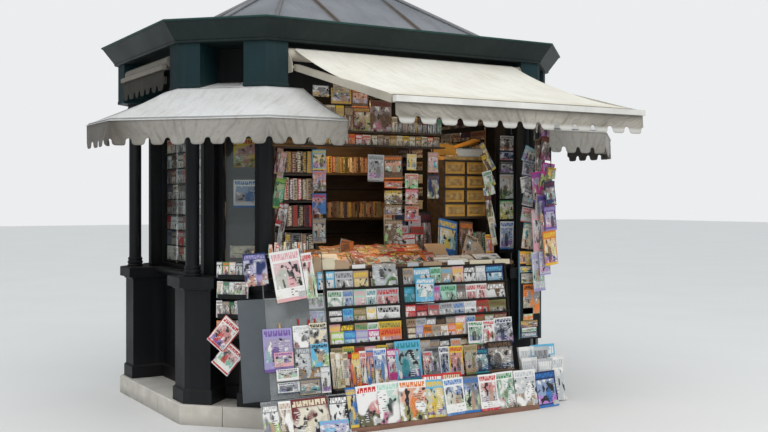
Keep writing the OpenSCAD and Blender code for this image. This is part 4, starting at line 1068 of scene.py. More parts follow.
def assorted(count, pool="grey brown maroon tan silver black navy white cream red grey brown"):
    """Words for so many covers, drawn from the inks of a pool."""
    words = []
    while len(words) < count:
        ground, accent = random.sample(pool.split(), 2)
        if ground != accent:
            words.append("%s-%s*%.2f" % (ground, accent, random.uniform(0.8, 1.2)))
    return " ".join(words)


# Part of a cover's height that shows, counted from its foot
UPPER_HALF, SPINE, PLAIN = (0.5, 1.0), (0.76, 0.98), (0.975, 1.0)
TIER_FOOT, TIER_STEP, TIER_COUNT = 1.106, 0.1255, 10
WINDOW_TIERS = [TIER_FOOT + TIER_STEP * k for k in range(TIER_COUNT)]


def window_rank(count, start, end):
    """Magazines side by side in a channel behind glass, between two points."""
    return rank(magazine, assorted(count), start, end, 0.1235, 0.003, 0.0, UPPER_HALF, 1.05, 0.3,
                vary=0.01)


channels, covers = [], []
for z in WINDOW_TIERS:
    channels.append(place_channel((-1.3165, 0, z), -90, 1.13))
    covers += window_rank(8, (-1.3190, 0.545, z), (-1.3190, -0.545, z))
shelve("left_window_channels", channels)
shelve("left_window_magazines", covers)

# Magazines in the rear lights stand in the same channels, fixed on the back of the shelf
# board, and face out through the glass.
random.seed(12)
channels, covers = [], []
for z in WINDOW_TIERS:
    channels.append(place_channel((0, 0.8445, z), 180, 1.9))
    covers += window_rank(15, (0.93, 0.847, z), (-0.93, 0.847, z))
shelve("rear_window_channels", channels)
shelve("rear_window_magazines", covers)

# The same channels are screwed behind the glass of the two rear corners and of the door, and
# magazines stand in them with their covers out.
random.seed(121)
CORNER_HALF = 0.132
BEHIND = 0.0025
door_low, door_high = box_of("side_door_glass")
door_x, door_y = door_low.x - 0.022, (door_low.y + door_high.y) / 2
door_half = (door_high.y - door_low.y) / 2 - 0.006
channels, covers = [], []
for z in WINDOW_TIERS:
    for side, yaw in ((1, 135), (-1, -135)):
        middle = Vector((side * 1.190, 0.7151, z))
        along = Vector((-side, 1, 0)).normalized() * CORNER_HALF * side
        back = Vector((-side, -1, 0)).normalized() * BEHIND
        channels.append(place_channel(middle + back, yaw, 2 * CORNER_HALF))
        covers += window_rank(2, middle - along, middle + along)
    channels.append(place_channel((door_x - BEHIND, door_y, z), 90, 2 * door_half))
    covers += window_rank(4, (door_x, door_y - door_half - 0.016, z),
                          (door_x, door_y + door_half + 0.016, z))
shelve("door_channels", channels)
shelve("door_magazines", covers)

# Notices behind the glass of the front left corner: two small posters and a narrow placard,
# pinned on a dark board that fills the window.
random.seed(13)
notices = []
for words, z in (("yellow-red", 1.850), ("white-blue", 1.552)):
    notices += rank(comic, words, (-1.244, -0.686, z), (-1.080, -0.851, z), 0.215, 0.001, 0.0,
                    spread=0)
notices.append(lay(comic, (0.300, 0.003, 1.20), (-1.1697, -0.7358, 1.115), "black-grey", yaw=-45,
                   crop=PLAIN))
notices += rank(comic, "cream-grey", (-1.262, -0.668, 1.18), (-1.075, -0.856, 1.18), 0.093,
                0.001, 0.0, (0.2, 0.7), spread=0)
shelve("corner_notices", notices)


def backs(words, left, right, y, foot, height, depth, lean, **options):
    """Books side by side with their backs to the front, between two x."""
    return line_up(book, words, left, right, y, foot, height, depth, lean, SPINE, spine=True,
                   **options)


# Stock on the shelves inside the rear windows: magazines face the counter on three tiers to
# a shelf, in channels screwed on the back board, with books in front of them.
random.seed(14)
REAR_SHELF_STEP, REAR_TIER_STEP = 0.419, 0.131
channels, covers = [], []
for shelf in range(1, 5):
    for tier in range(3):
        z = 0.186 + REAR_SHELF_STEP * shelf + REAR_TIER_STEP * tier
        if tier:
            channels.append(place_channel((0, 0.835, z), 0, 1.86))
        words = assorted(13, "tan brown cream grey black maroon ochre olive")
        covers += line_up(magazine, words, -0.92, 0.92, 0.832, z + 0.001, 0.118, 0.004, 1.0,
                          (0.4, 1.0), spread=0.6)
shelve("rear_shelf_channels", channels)
shelve("rear_shelf_magazines", covers)
books = []
for shelf in range(1, 5):
    words = assorted(46, "brown tan maroon navy cream black olive ochre grey brown")
    books += backs(words, -0.94, 0.94, 0.78, 0.184 + REAR_SHELF_STEP * shelf, 0.155, 0.15, 0.0,
                   spread=0.5)
shelve("rear_shelf_books", books)

# Comics on the counter: a stepped riser of board carries shingled rows of thin comics that
# lean far back, each row turned a little sideways. A small fanned bundle lies on top. The
# covers are orange and red, and the many maroon and brown inks among them are painted shade
# under the awning.
random.seed(15)
riser = block("riser", (-0.955, -1.130, 1.1203), (0.30, -0.85, 1.135), shelf_wood)
score(riser, -1.04, -0.95)
for y, rise in ((-1.04, 0.030), (-0.95, 0.032)):
    pick_faces(riser, lambda centre, n, y=y: n.z > 0.5 and centre.y > y)
    pull(0, 0, rise)
hush()
shelve("counter_riser", [riser])
comics = []
for left, y, z, lean, words in (
        (-0.78, -1.155, 1.121, 56,
         "orange-black maroon-red brown-orange black-orange ochre-black maroon-red brown-red "
         "orange-red maroon-orange red-black brown-yellow maroon-orange yellow-red black-orange "
         "orange-maroon brown-red"),
        (-0.92, -1.070, 1.137, 58,
         "orange-maroon brown-red black-orange ochre-purple maroon-orange brown-orange "
         "black-yellow purple-red maroon-ochre orange-brown navy-yellow red-black brown-orange "
         "maroon-orange ochre-maroon brown-red"),
        (-0.86, -0.985, 1.167, 62,
         "orange-red brown-orange maroon-ochre tan-brown orange-black black-red brown-yellow "
         "ochre-red maroon-orange tan-brown red-maroon ochre-red brown-orange"),
        (-0.58, -0.905, 1.199, 66,
         "brown-orange orange-maroon ochre-brown brown-red maroon-yellow maroon-red brown-green "
         "ochre-red red-maroon brown-orange")):
    comics += line_up(comic, words, left, 0.24, y, z, 0.13, 0.005, lean, spill=1.75, spread=11,
                      turn=-9)
for k, words in enumerate(("orange-brown", "brown-orange", "orange-maroon", "brown-tan")):
    place = (-0.480 + 0.006 * k, -0.940 + 0.010 * k, 1.240 + 0.016 * k)
    comics.append(lay(comic, (0.060, 0.008, 0.16), place, words, 30, 84 + 6 * k, -6, (0.84, 1.0)))
shelve("counter_comics", comics)

# Booklets at the counter's right end: loose piles of tan and cream booklets, tilted ones on
# and beside them, and a bright album. Slips of paper hang along the counter's front edge,
# sheets lie behind them, and tall covers stand at the back.
random.seed(115)
COUNTER_Z = 1.1205
piles = []
for words, x, y, z, width, thick, depth, yaw in (
        ("tan-brown", 0.295, -1.10, COUNTER_Z, 0.15, 0.021, 0.13, 4),
        ("tan-cream", 0.300, -1.10, 1.143, 0.14, 0.020, 0.12, -3),
        ("cream-tan", 0.460, -1.11, COUNTER_Z, 0.17, 0.020, 0.13, -14),
        ("cream-tan", 0.465, -1.10, 1.141, 0.15, 0.010, 0.12, -9),
        ("cream-tan", 0.700, -1.10, COUNTER_Z, 0.20, 0.008, 0.15, 3),
        ("tan-cream", 0.870, -1.09, COUNTER_Z, 0.14, 0.010, 0.15, -4)):
    piles.append(lay(comic, (width, thick, depth), (x, y - depth / 2, z), words, 90, crop=PLAIN))
    turn = Matrix.Translation((x, y, 0)) @ Matrix.Rotation(math.radians(yaw), 4, "Z")
    piles[-1].data.transform(turn @ Matrix.Translation((-x, -y, 0)))
for words, place, size, *turns in (
        ("tan-pink", (0.335, -1.06, 1.166), (0.16, 0.012, 0.15), 56, 0, -14, PLAIN),
        ("tan-black", (0.620, -1.04, 1.131), (0.115, 0.014, 0.200), 10, 23, 0),
        ("tan-cream", (0.80, -1.00, 1.131), (0.09, 0.012, 0.15), 10, -28, 0, PLAIN),
        ("blue-yellow", (0.50, -0.93, 1.1215), (0.19, 0.012, 0.335), 12, 12, 4),
        ("brown-orange", (0.72, -0.90, 1.1215), (0.13, 0.010, 0.31), 8, 4, 0)):
    piles.append(lay(comic, size, place, words, *turns))
for words, x, width, foot, height, roll in (
        ("tan-cream", -0.790, 0.10, 1.070, 0.12, 9), ("cream-tan", -0.700, 0.11, 1.082, 0.10, -8),
        ("tan-cream", -0.600, 0.12, 1.092, 0.07, 12), ("white-sky", -0.455, 0.11, 1.094, 0.036, 0),
        ("silver-white", 0.02, 0.10, 1.096, 0.034, 1), ("tan-cream", 0.20, 0.17, 1.094, 0.038, -1),
        ("white-silver", 0.42, 0.16, 1.093, 0.044, 1), ("cream-white", 0.66, 0.22, 1.095, 0.036, 0),
        ("cream-tan", 0.87, 0.15, 1.094, 0.038, 0)):
    piles.append(lay(comic, (width, 0.003, height), (x, -1.1835, foot), words, 5, roll, 0, PLAIN))
for words, x, width, height, yaw in (
        ("cream-tan", -0.755, 0.15, 0.16, 8), ("cream-white", -0.66, 0.14, 0.15, -6),
        ("tan-cream", -0.57, 0.13, 0.14, 5), ("white-cream", -0.235, 0.20, 0.10, -3),
        ("cream-silver", 0.06, 0.22, 0.09, 4), ("white-tan", 0.30, 0.19, 0.09, -5),
        ("cream-white", 0.52, 0.22, 0.10, 3), ("white-silver", 0.76, 0.24, 0.10, -2)):
    piles.append(lay(comic, (width, 0.003, height), (x, -1.172, 1.1215), words, 62 + yaw, 0, yaw))
for words, x, y, width, thick, height, lean, roll in (
        ("cream-orange", 0.095, -0.735, 0.13, 0.004, 0.42, 4, 2),
        ("navy-black", 0.205, -0.735, 0.10, 0.012, 0.37, 4, -2),
        ("silver-pink", 0.335, -0.740, 0.14, 0.004, 0.36, 4, 1),
        ("black-maroon", 0.445, -0.740, 0.10, 0.006, 0.39, 4, -1),
        ("silver-red", 0.16, -0.775, 0.18, 0.004, 0.28, 5, -1),
        ("red-brown", 0.325, -0.775, 0.12, 0.004, 0.27, 5, 2),
        ("green-tan", 0.07, -0.800, 0.12, 0.004, 0.23, 6, 3),
        ("red-white", 0.225, -0.800, 0.17, 0.004, 0.22, 6, -3)):
    piles.append(lay(comic, (width, thick, height), (x, y, COUNTER_Z), words, lean, roll))
shelve("counter_booklets", piles)


def lean_column(pieces, y, table):
    """Adds thin books that lean one over the other in three layers."""
    for words, x, z, width, height, roll in table:
        place = (x, y - 0.005 * (len(pieces) % 3), z)
        pieces.append(lay(magazine, (width, 0.004, height), place, words, 0, roll))


# Left shelf: worn books with their backs to the front, comics clipped in a column at its right
# side and thin books that lean in a column at its left side.
random.seed(16)
SHELF_FACE = -0.8435
books = []
for foot, height, lean, words in (
        (1.809, 0.17, 0,
         "brown-tan black-tan brown-ochre maroon-tan brown-cream black-ochre ochre-tan*1.6"),
        (1.606, 0.172, 0,
         "red-cream brown-tan cream-red maroon-white cream-brown red-white brown-cream "
         "tan-brown*2"),
        (1.403, 0.172, 0,
         "maroon-tan black-red maroon-cream brown-red black-tan maroon-black red-brown"),
        (1.139, 0.225, 2,
         "black-tan*1.5 brown-cream grey-black*1.5 brown-tan black-cream*1.3")):
    books += backs(words, -0.968, -0.64, -0.70, foot, height, 0.135, lean)
shelve("left_shelf_books", books)
comics = []
for words, z, height in (
        ("sky-yellow", 1.835, 0.16), ("lilac-orange", 1.675, 0.155), ("blue-red", 1.50, 0.165),
        ("grey-tan", 1.28, 0.20)):
    comics += line_up(magazine, words, -0.668, -0.548, SHELF_FACE, z, height, 0.003, 0)
lean_column(comics, SHELF_FACE, (
    ("maroon-tan", -0.965, 1.80, 0.05, 0.20, 9), ("tan-pink", -0.945, 1.77, 0.05, 0.20, 12),
    ("green-lime", -0.965, 1.545, 0.085, 0.24, 10), ("red-white", -0.955, 1.415, 0.05, 0.17, 14),
    ("maroon-white", -0.925, 1.37, 0.035, 0.22, 10),
    ("white-silver", -0.955, 1.215, 0.035, 0.22, 8),
    ("yellow-ochre", -0.915, 1.16, 0.03, 0.19, 13),
    ("cream-brown", -0.945, 1.13, 0.06, 0.14, 20)))
shelve("left_shelf_comics", comics)

# Right shelf: eight ochre boxes of pasteboard with a sunk label stand over a row of books. On
# top lie a board with flaps of card, small books and a grey pile, and thin books lean at the
# right side.
random.seed(17)
material, tree, shader = finish("ochre_board", Roughness=0.62)
where = place_of(tree)
stain = cloud(tree, where, 9, 4)
fibres = cloud(tree, where, 70, 3, (1, 1, 4))
colour = mix(tree, stain.ramp(0.35, 0.7), (0.80, 0.42, 0.07, 1), (0.52, 0.24, 0.04, 1))
feed(shader, Base_Color=mix(tree, fibres * 0.3, colour, (0.70, 0.45, 0.14, 1)),
     Normal=relief(tree, fibres, 0.001))
ochre_board = material
material, tree, shader = finish("box_label", Roughness=0.7)
ruled = (axes_of(tree, place_of(tree))[2] * 130.0).op("FRACT")
blot = cloud(tree, place_of(tree), 30, 3)
colour = mix(tree, blot.ramp(0.35, 0.6), (0.62, 0.40, 0.13, 1), (0.36, 0.19, 0.06, 1))
feed(shader, Base_Color=mix(tree, (ruled < 0.22) * 0.6, colour, (0.2, 0.13, 0.06, 1)))
box_label = material
box = block("box", (-0.0995, -0.215, 0), (0.0995, 0, 0.0995), ochre_board, box_label)
pick(box)
bpy.ops.mesh.bevel(offset=0.003, segments=2)
pick_faces(box, lambda centre, n: n.y < -0.9)
bpy.ops.mesh.inset(thickness=0.019, depth=0)
bpy.ops.mesh.inset(thickness=0.002, depth=-0.0022)
pick_faces(box, lambda centre, n: n.y < -0.9 and centre.y > -0.2135)
coat(box)
hush()
boxes = []
for row in range(4):
    for x in (0.6525, 0.8695):
        place = (x + random.uniform(-0.003, 0.003), -0.61 - random.uniform(0, 0.012),
                 1.4725 + 0.117 * row)
        turn = Matrix.Rotation(math.radians(random.uniform(-1.2, 1.2)), 4, "Z")
        boxes.append(copy_of(box, Matrix.Translation(place) @ turn))
boxes.append(block("board", (0.542, -0.838, 1.9385), (0.95, -0.63, 1.966), box_label))
for left, right, foot, top, y, tilt in (
        (0.425, 0.675, 1.980, 2.075, -0.848, 2), (0.66, 0.90, 2.036, 2.052, -0.836, -10),
        (0.67, 0.93, 2.036, 2.050, -0.832, -14), (0.69, 0.92, 2.036, 2.056, -0.828, -18)):
    flap = block("flap", (left, y, foot), (right, y + 0.003, top), ochre_board)
    pick(flap, lambda p, top=top: p.z > top - 0.01)
    bpy.ops.transform.translate(value=(0, 0.07, 0))
    hush()
    turn = Matrix.Translation((left, 0, foot)) @ Matrix.Rotation(math.radians(tilt), 4, "Y")
    flap.data.transform(turn @ Matrix.Translation((-left, 0, -foot)))
    boxes.append(flap)
shelve("right_shelf_boxes", boxes)
books = backs("blue-yellow*2 white-blue tan-brown*1.5 orange-cream brown-tan yellow-red "
              "cream-brown green-white tan-cream*1.5 white-green", 0.556, 0.966, -0.70, 1.139,
              0.20, 0.138, 2)
books += backs("cream-brown olive-tan cream-grey tan-brown grey-green yellow-ochre*2 "
               "green-grey*2 brown-tan", 0.60, 0.94, -0.64, 1.967, 0.12, 0.03, 0)
books.append(lay(comic, (0.26, 0.066, 0.16), (0.80, -0.836, 1.967), "grey-silver", 90))
shelve("right_shelf_books", books)
covers = []
lean_column(covers, -0.977, (
    ("grey-yellow", 0.945, 1.86, 0.045, 0.25, -33), ("brown-yellow", 0.935, 1.73, 0.05, 0.28, -24),
    ("white-green", 0.905, 1.65, 0.09, 0.20, -14), ("white-blue", 0.94, 1.38, 0.055, 0.34, -14),
    ("maroon-brown", 0.90, 1.45, 0.06, 0.20, -8), ("cream-tan", 0.945, 1.235, 0.05, 0.24, -12),
    ("yellow-red", 0.90, 1.165, 0.08, 0.16, -3)))
covers.append(block("strip", (0.958, -0.974, 1.20), (0.968, -0.972, 2.12), rack_wire))
shelve("right_shelf_covers", covers)

# Shelves over the counter: small books and boxes on the lower board, taller ones and two
# dark framed pictures on the upper, and covers clipped on strips that hang from the lower.
random.seed(18)
LOWER_BOARD, UPPER_BOARD = 2.0325, 2.1375
books = line_up(book, "brown-tan red-yellow yellow-red yellow-cream white-yellow cream-red "
                "orange-red red-white cream-red*1.4 brown-cream tan-brown brown-tan ochre-brown "
                "cream-tan yellow-brown tan-cream brown-ochre cream-brown red-cream tan-brown",
                -0.74, 0.44, -0.845, LOWER_BOARD, 0.082, 0.075, 0, UPPER_HALF)
books += line_up(book, "cream-brown brown-black tan-maroon black-brown ochre-brown brown-black "
                 "maroon-black black-grey grey-silver grey-green",
                 -0.004, 0.46, -0.845, UPPER_BOARD, 0.13, 0.08, 0, UPPER_HALF)
books += line_up(book, "brown-cream tan-brown cream-brown yellow-tan brown-tan",
                 -0.74, -0.358, -0.845, UPPER_BOARD, 0.19, 0.08, 0, UPPER_HALF, vary=0.01)
shelve("overhead_books", books)
covers = []
for words, left, right, height in (("maroon-ochre", -0.352, -0.198, 0.195),
                                   ("brown-maroon", -0.196, -0.005, 0.26)):
    covers += line_up(magazine, words, left, right, -0.905, UPPER_BOARD, height, 0.008, 2)
strips = []
for x, foot, column in (
        (-0.15, 1.74, (("silver-grey", 1.75, 0.22, 0.15),)),
        (0.01, 1.27, (("brown-orange", 1.77, 0.19, 0.18), ("orange-red", 1.70, 0.06, 0.17),
                      ("brown-yellow", 1.575, 0.115, 0.17), ("brown-tan", 1.49, 0.08, 0.17),
                      ("brown-tan", 1.285, 0.175, 0.17))),
        (0.18, 1.42, (("cream-yellow", 1.845, 0.13, 0.09), ("cream-red", 1.70, 0.12, 0.12),
                      ("red-pink", 1.575, 0.12, 0.12), ("tan-red", 1.44, 0.12, 0.13))),
        (0.385, 1.60, (("tan-pink", 1.83, 0.17, 0.10), ("navy-brown", 1.62, 0.19, 0.11))),
):
    strips.append(block("strip", (x - 0.006, -0.9075, foot), (x + 0.006, -0.905, 2.02), rack_wire))
    for words, z, height, width in column:
        covers += line_up(magazine, words, x - width / 2, x + width / 2, -0.9085, z, height,
                          0.003, 0, spread=1.5)
shelve("hanging_strips", strips)
shelve("overhead_covers", covers)

# Printed cards of thin board, pinned along the foot of the frieze at the left, under the
# front awning. One of them is pinned over another.
random.seed(181)
cards = []
for words, left, right, foot, top, out in (
        ("grey-white", -0.85, -0.72, 2.352, 2.432, 0.0),
        ("ochre-black", -0.70, -0.535, 2.30, 2.42, 0.0),
        ("tan-brown", -0.685, -0.55, 2.398, 2.455, 0.003),
        ("brown-orange", -0.53, -0.39, 2.288, 2.425, 0.0)):
    cards.append(stand_up(comic, words, left, right, -1.2125 - out, foot, 0.002, top - foot, 0,
                          random.uniform(-1.5, 1.5)))
shelve("frieze_cards", cards)

# Leaning rack in front of the counter: magazines stand on four rails, in two panels, and show
# their heads over the rail in front. The lowest tier and the step hold a second rank behind.
random.seed(19)
RACK_FACE, RACK_FOOT, RACK_SLOPE = -1.2688, 0.56, 0.1405


def on_rack(words, left, right, foot, height, depth=0.003):
    """A rank of magazines on the slope of the rack, its foot so high and so far out."""
    y = RACK_FACE - depth + RACK_SLOPE * (foot - RACK_FOOT)
    return line_up(magazine, words, left, right, y, foot, height, 0.005, 8.5,
                   (max(0.0, 1 - height / 0.27), 1.0))


covers = []
for foot, height, start, left_panel, right_panel in (
        (0.962, 0.130, -0.81,
         "sky-white*1.0 silver-grey*1.1 tan-yellow*.95 black-tan*1.4 grey-white*.4",
         "tan-grey sky-white*1.6 mint-green tan-sky*1.1 pink-yellow*1.1 black-white*1.2 "
         "silver-white navy-sky*1.8"),
        (0.829, 0.126, -0.742,
         "white-green*1.5 silver-blue*1.1 mint-pink*1.3 white-teal silver-red*2.4",
         "teal-sky olive-yellow*1.2 lilac-magenta*1.1 mint-green*1.5 grey-brown*.9 "
         "white-red white-red brown-white*1.8"),
        (0.721, 0.101, -0.742,
         "black-white*1.4 sky-blue olive-tan*1.3 white-yellow white-black*2.4",
         "red-white maroon-red*1.1 grey-red*1.1 silver-grey*1.3 silver-blue*1.1 "
         "white-silver*1.2 red-brown*1.2 olive-brown*1.8"),
        (0.563, 0.151, -0.742,
         "pink-yellow black-yellow*1.3 tan-green*1.2 white-green yellow-olive*2.2",
         "tan-brown silver-grey grey-white black-brown grey-tan pink-white*1.1 "
         "silver-blue red-olive olive-white maroon-tan*1.5")):
    covers += on_rack(left_panel, start, -0.133, foot, height)
    covers += on_rack(right_panel, -0.090, 0.862, foot, height)
covers += on_rack("lime-white*1.2 blue-sky*1.1 lilac-silver*1.2 magenta-white*1.1 orange-red*2.2",
                  -0.735, -0.135, 0.563, 0.097, 0.011)
covers += on_rack("brown-cream*1.1 lilac-silver orange-brown*1.1 tan-grey*1.2 tan-white "
                  "orange-pink yellow-orange", -0.088, 0.42, 0.563, 0.097, 0.011)
covers += on_rack("tan-olive yellow-green brown-red pink-white yellow-olive cream-brown "
                  "black-brown red-pink tan-silver grey-tan black-white silver-orange "
                  "brown-cream orange-red pink-brown tan-yellow brown-black",
                  -0.74, 0.86, 0.2745, 0.278, 0.002)
covers.append(lay(magazine, (0.165, 0.004, 0.19), (0.08, -1.2565, 0.8235), "sky-white", 2, 1))
covers.append(lay(magazine, (0.20, 0.004, 0.155), (-0.262, -1.232, 0.972), "silver-grey", 7, 1, 0,
                  (0.0, 0.72)))
for words, left, right, foot, height, roll in (
        ("white-green", 0.445, 0.585, 0.485, 0.18, 1), ("white-red", 0.59, 0.70, 0.49, 0.175, 0),
        ("white-navy", 0.705, 0.88, 0.475, 0.205, -2)):
    y = -1.3065 + RACK_SLOPE * (foot - RACK_FOOT)
    covers.append(stand_up(magazine, words, left, right, y, foot, 0.004, height, 7.5, roll))
shelve("rack_magazines", covers)

# Step row: whole magazines and a pile of cream booklets on edge, loose on the step in front of
# the rack.
random.seed(21)
covers = []
for words, left, right, height in (
        ("cream-tan cream-white tan-cream cream-brown", -0.77, -0.64, 0.262),
        ("black-red", -0.64, -0.605, 0.26), ("orange-yellow", -0.61, -0.54, 0.255),
        ("white-red", -0.54, -0.49, 0.25), ("blue-orange", -0.495, -0.43, 0.258),
        ("white-blue", -0.42, -0.315, 0.255), ("magenta-white", -0.31, -0.215, 0.25),
        ("sky-teal", -0.235, -0.015, 0.31), ("silver-red", 0.0, 0.08, 0.215),
        ("grey-black", 0.03, 0.145, 0.232), ("white-navy", 0.15, 0.235, 0.235),
        ("yellow-red", 0.235, 0.36, 0.228), ("tan-olive", 0.38, 0.50, 0.235),
        ("navy-teal", 0.47, 0.60, 0.195), ("black-brown", 0.60, 0.84, 0.235)):
    covers += line_up(magazine, words, left, right, -1.375, 0.2715, height, 0.006, 10, spill=1.04)
shelve("step_magazines", covers)

# Front row: large magazines lean on a low lath on the base board, and the last one stands on
# the ground beyond the board's end.
random.seed(22)
lath = block("lath", (-0.775, -1.565, 0.1705), (0.88, -1.553, 0.195), shelf_wood)
posts = [block("post", (x - 0.008, -1.553, 0.0355), (x + 0.008, -1.541, 0.195), shelf_wood)
         for x in (-0.74, 0.05, 0.84)]
shelve("front_lath", [lath, *posts])
covers = []
for foot, front in (
        (0.0355, (
            ("red-white", -0.135, 0.04, 0.305, 0.0), ("red-cream", 0.03, 0.20, 0.305, 0.0),
            ("blue-yellow", -0.775, -0.655, 0.275, 0.008), ("white-red", -0.69, -0.52, 0.28, 0.016),
            ("white-mint", -0.56, -0.33, 0.285, 0.008),
            ("white-orange", -0.355, -0.125, 0.285, 0.016),
            ("sky-yellow", -0.14, 0.045, 0.268, 0.008), ("white-blue", 0.04, 0.215, 0.268, 0.016),
            ("grey-blue", 0.195, 0.355, 0.265, 0.008), ("white-red", 0.35, 0.515, 0.268, 0.016),
            ("white-green", 0.50, 0.685, 0.272, 0.008),
            ("white-silver", 0.68, 0.885, 0.27, 0.016))),
        (0.0025, (("navy-blue", 0.89, 1.10, 0.275, 0.010),))):
    for words, left, right, height, depth in front:
        covers.append(stand_up(magazine, words, left, right, -1.600 - depth, foot, 0.006, height,
                               13, random.uniform(-2, 2), random.uniform(-1.5, 1.5)))
shelve("front_magazines", covers)

# Poster board: a framed dark board hung by two hooks on the cap of the front right pedestal,
# with a light blue edge and covers pinned on it.
random.seed(23)
blue_edge = paint("blue_edge", (0.10, 0.26, 0.36), 0.5, 0.4)
board = block("poster_board", (1.015, -1.218, 0.475), (1.245, -1.2055, 1.20), rack_wire,
              wall_paint, blue_edge)
pick_faces(board, lambda centre, n: n.y < -0.9)
bpy.ops.mesh.inset(thickness=0.010, depth=0)
bpy.ops.mesh.inset(thickness=0.001, depth=-0.004)
coat(board)
pick_faces(board, lambda centre, n: n.x < -0.9 or (n.y < -0.9 and centre.x < 1.022))
coat(board, 2)
hush()
hooks = []
for x in (1.06, 1.20):
    hook = block("hook", (x - 0.006, -1.206, 1.04), (x + 0.006, -1.203, 1.062), rack_wire)
    pick_faces(hook, lambda centre, n: n.z > 0.5)
    pull(0, 0, 0.003)
    pick_faces(hook, lambda centre, n: n.y > 0.5 and centre.z > 1.06)
    pull(0, 0.030, 0)
    hush()
    hooks.append(hook)
shelve("poster_board", [board, *hooks])
covers = []
for words, x, width, z, height in (
        ("yellow-orange", 1.055, 0.065, 1.09, 0.10), ("ochre-yellow", 1.12, 0.06, 1.08, 0.11),
        ("blue-yellow", 1.10, 0.15, 1.02, 0.05), ("silver-tan", 1.11, 0.14, 0.93, 0.08),
        ("orange-black", 1.145, 0.17, 0.68, 0.24), ("orange-ochre", 1.11, 0.10, 0.63, 0.10),
        ("ochre-brown", 1.12, 0.17, 0.575, 0.05), ("silver-white", 1.12, 0.15, 0.535, 0.035),
        ("navy-silver", 1.12, 0.17, 0.49, 0.04)):
    covers.append(lay(comic, (width, 0.002, height), (x, -1.2155, z), words))
shelve("board_covers", covers)

# Newspapers at the right: folded papers stand in two ranks on the ground, leaning on the plinth
# and on each other, with a poster among them.
random.seed(33)
papers = line_up(magazine, "white-silver silver-grey", 0.92, 1.18, -1.400, 0.0055, 0.44, 0.02, 12,
                 (0.3, 1.0), spill=1.05)
papers += line_up(magazine, "sky-white", 1.03, 1.27, -1.425, 0.003, 0.47, 0.008, 12, spread=0)
papers += line_up(magazine, "white-silver silver-white white-silver", 0.90, 1.30, -1.462, 0.0065,
                  0.36, 0.02, 14, (0.3, 1.0), spill=1.05)
shelve("newspapers", papers)

# Cards beside the opening at the right: a dark board is screwed on the front of the post and
# six cards are clipped on it, one over the other.
random.seed(24)
board = block("card_board", (0.988, -0.990, 1.17), (1.142, -0.9805, 2.15), wall_paint)
pick_faces(board, lambda centre, n: n.y < -0.9)
bpy.ops.mesh.inset(thickness=0.006, depth=0)
bpy.ops.mesh.inset(thickness=0.001, depth=-0.003)
hush()
shelve("card_board", [board])
cards = []
for words, z, height in (
        ("silver-brown", 2.02, 0.12), ("navy-silver", 1.94, 0.07), ("black-grey", 1.83, 0.10),
        ("silver-tan", 1.62, 0.20), ("green-cream", 1.45, 0.155), ("white-blue", 1.20, 0.23)):
    cards.append(lay(magazine, (0.135, 0.004, height), (1.065, -0.9885, z), words, 0,
                     random.uniform(-1, 1)))
shelve("post_cards", cards)

# Packets in clear bags hang in four columns at the right corner, from the box and from the
# canopy's frame. Each packet is clipped on the flat strip that passes behind it. The near-black
# packets at the heads of the second and fourth columns are painted shade, put where the
# canopy's underside throws shadow.
random.seed(25)
packets, strips = [], []
for x, y, head, column in (
        (1.105, -1.196, 2.40, (
            ("sky-cream", 1.915, 0.13, 0.11, 22), ("silver-navy", 1.80, 0.13, 0.12, 8),
            ("white-grey", 1.67, 0.13, 0.11, -8), ("grey-silver", 1.56, 0.14, 0.10, 12),
            ("silver-red", 1.425, 0.12, 0.12, 10), ("teal-cream", 1.21, 0.21, 0.12, 8))),
        (1.175, -1.272, 2.36, (
            # The first packet here is a dark packet that stands for painted shade under the canopy.
            ("black-brown", 2.09, 0.21, 0.10, 2), ("brown-black", 1.84, 0.26, 0.11, 0),
            ("magenta-purple", 1.60, 0.24, 0.12, -9), ("silver-pink", 1.50, 0.15, 0.11, 6),
            ("pink-silver", 1.17, 0.36, 0.11, -4), ("silver-lilac", 0.87, 0.32, 0.11, -5))),
        (1.262, -1.318, 2.33, (
            ("yellow-brown", 1.78, 0.09, 0.08, 4), ("navy-maroon", 1.56, 0.20, 0.10, -9),
            ("purple-lilac", 1.36, 0.20, 0.11, -6), ("orange-yellow", 1.08, 0.28, 0.13, -7))),
        (1.218, -1.290, 2.35, (
            # The first packet here is a dark packet that stands for painted shade under the canopy.
            ("black-maroon", 2.11, 0.18, 0.10, -3), ("maroon-brown", 1.93, 0.19, 0.10, 5),
            ("magenta-lilac", 1.68, 0.23, 0.11, 9), ("purple-navy", 1.43, 0.22, 0.11, -8),
            ("pink-lilac", 1.21, 0.19, 0.11, 6), ("silver-lilac", 1.00, 0.19, 0.11, -4)))):
    foot = column[-1][1] + 0.02
    strip = block("clip_strip", (x - 0.005, y - 0.002, foot), (x + 0.005, y - 0.0005, head),
                  rack_wire)
    pick(strip, lambda p, foot=foot: p.z < foot + 0.01)
    bpy.ops.transform.resize(value=(0.4, 1, 1), center_override=(x, y, foot))
    hush()
    strips.append(strip)
    for k, (words, z, height, width, roll) in enumerate(column):
        place = (x, y - 0.003 - 0.007 * (k % 2), z)
        packets.append(lay(magazine, (width, 0.006, height), place, words, 0, roll,
                           random.uniform(-9, 9)))
shelve("packet_strips", strips)
shelve("hanging_packets", packets)


def on_slope(x, z, depth):
    """The place at an x and a length along the wire stand's slope, so far in front of it."""
    return (x, STAND_Y + z * math.sin(STAND_SLOPE) - depth, STAND_Z + z * math.cos(STAND_SLOPE))


def on_stand(words, left, right, foot, top, depth, roll=0.0):
    """A cover on the wire stand, between two x and two lengths along its slope."""
    size, place = (right - left, 0.003, top - foot), on_slope((left + right) / 2, foot, depth)
    return lay(comic, size, place, words, 9, roll)


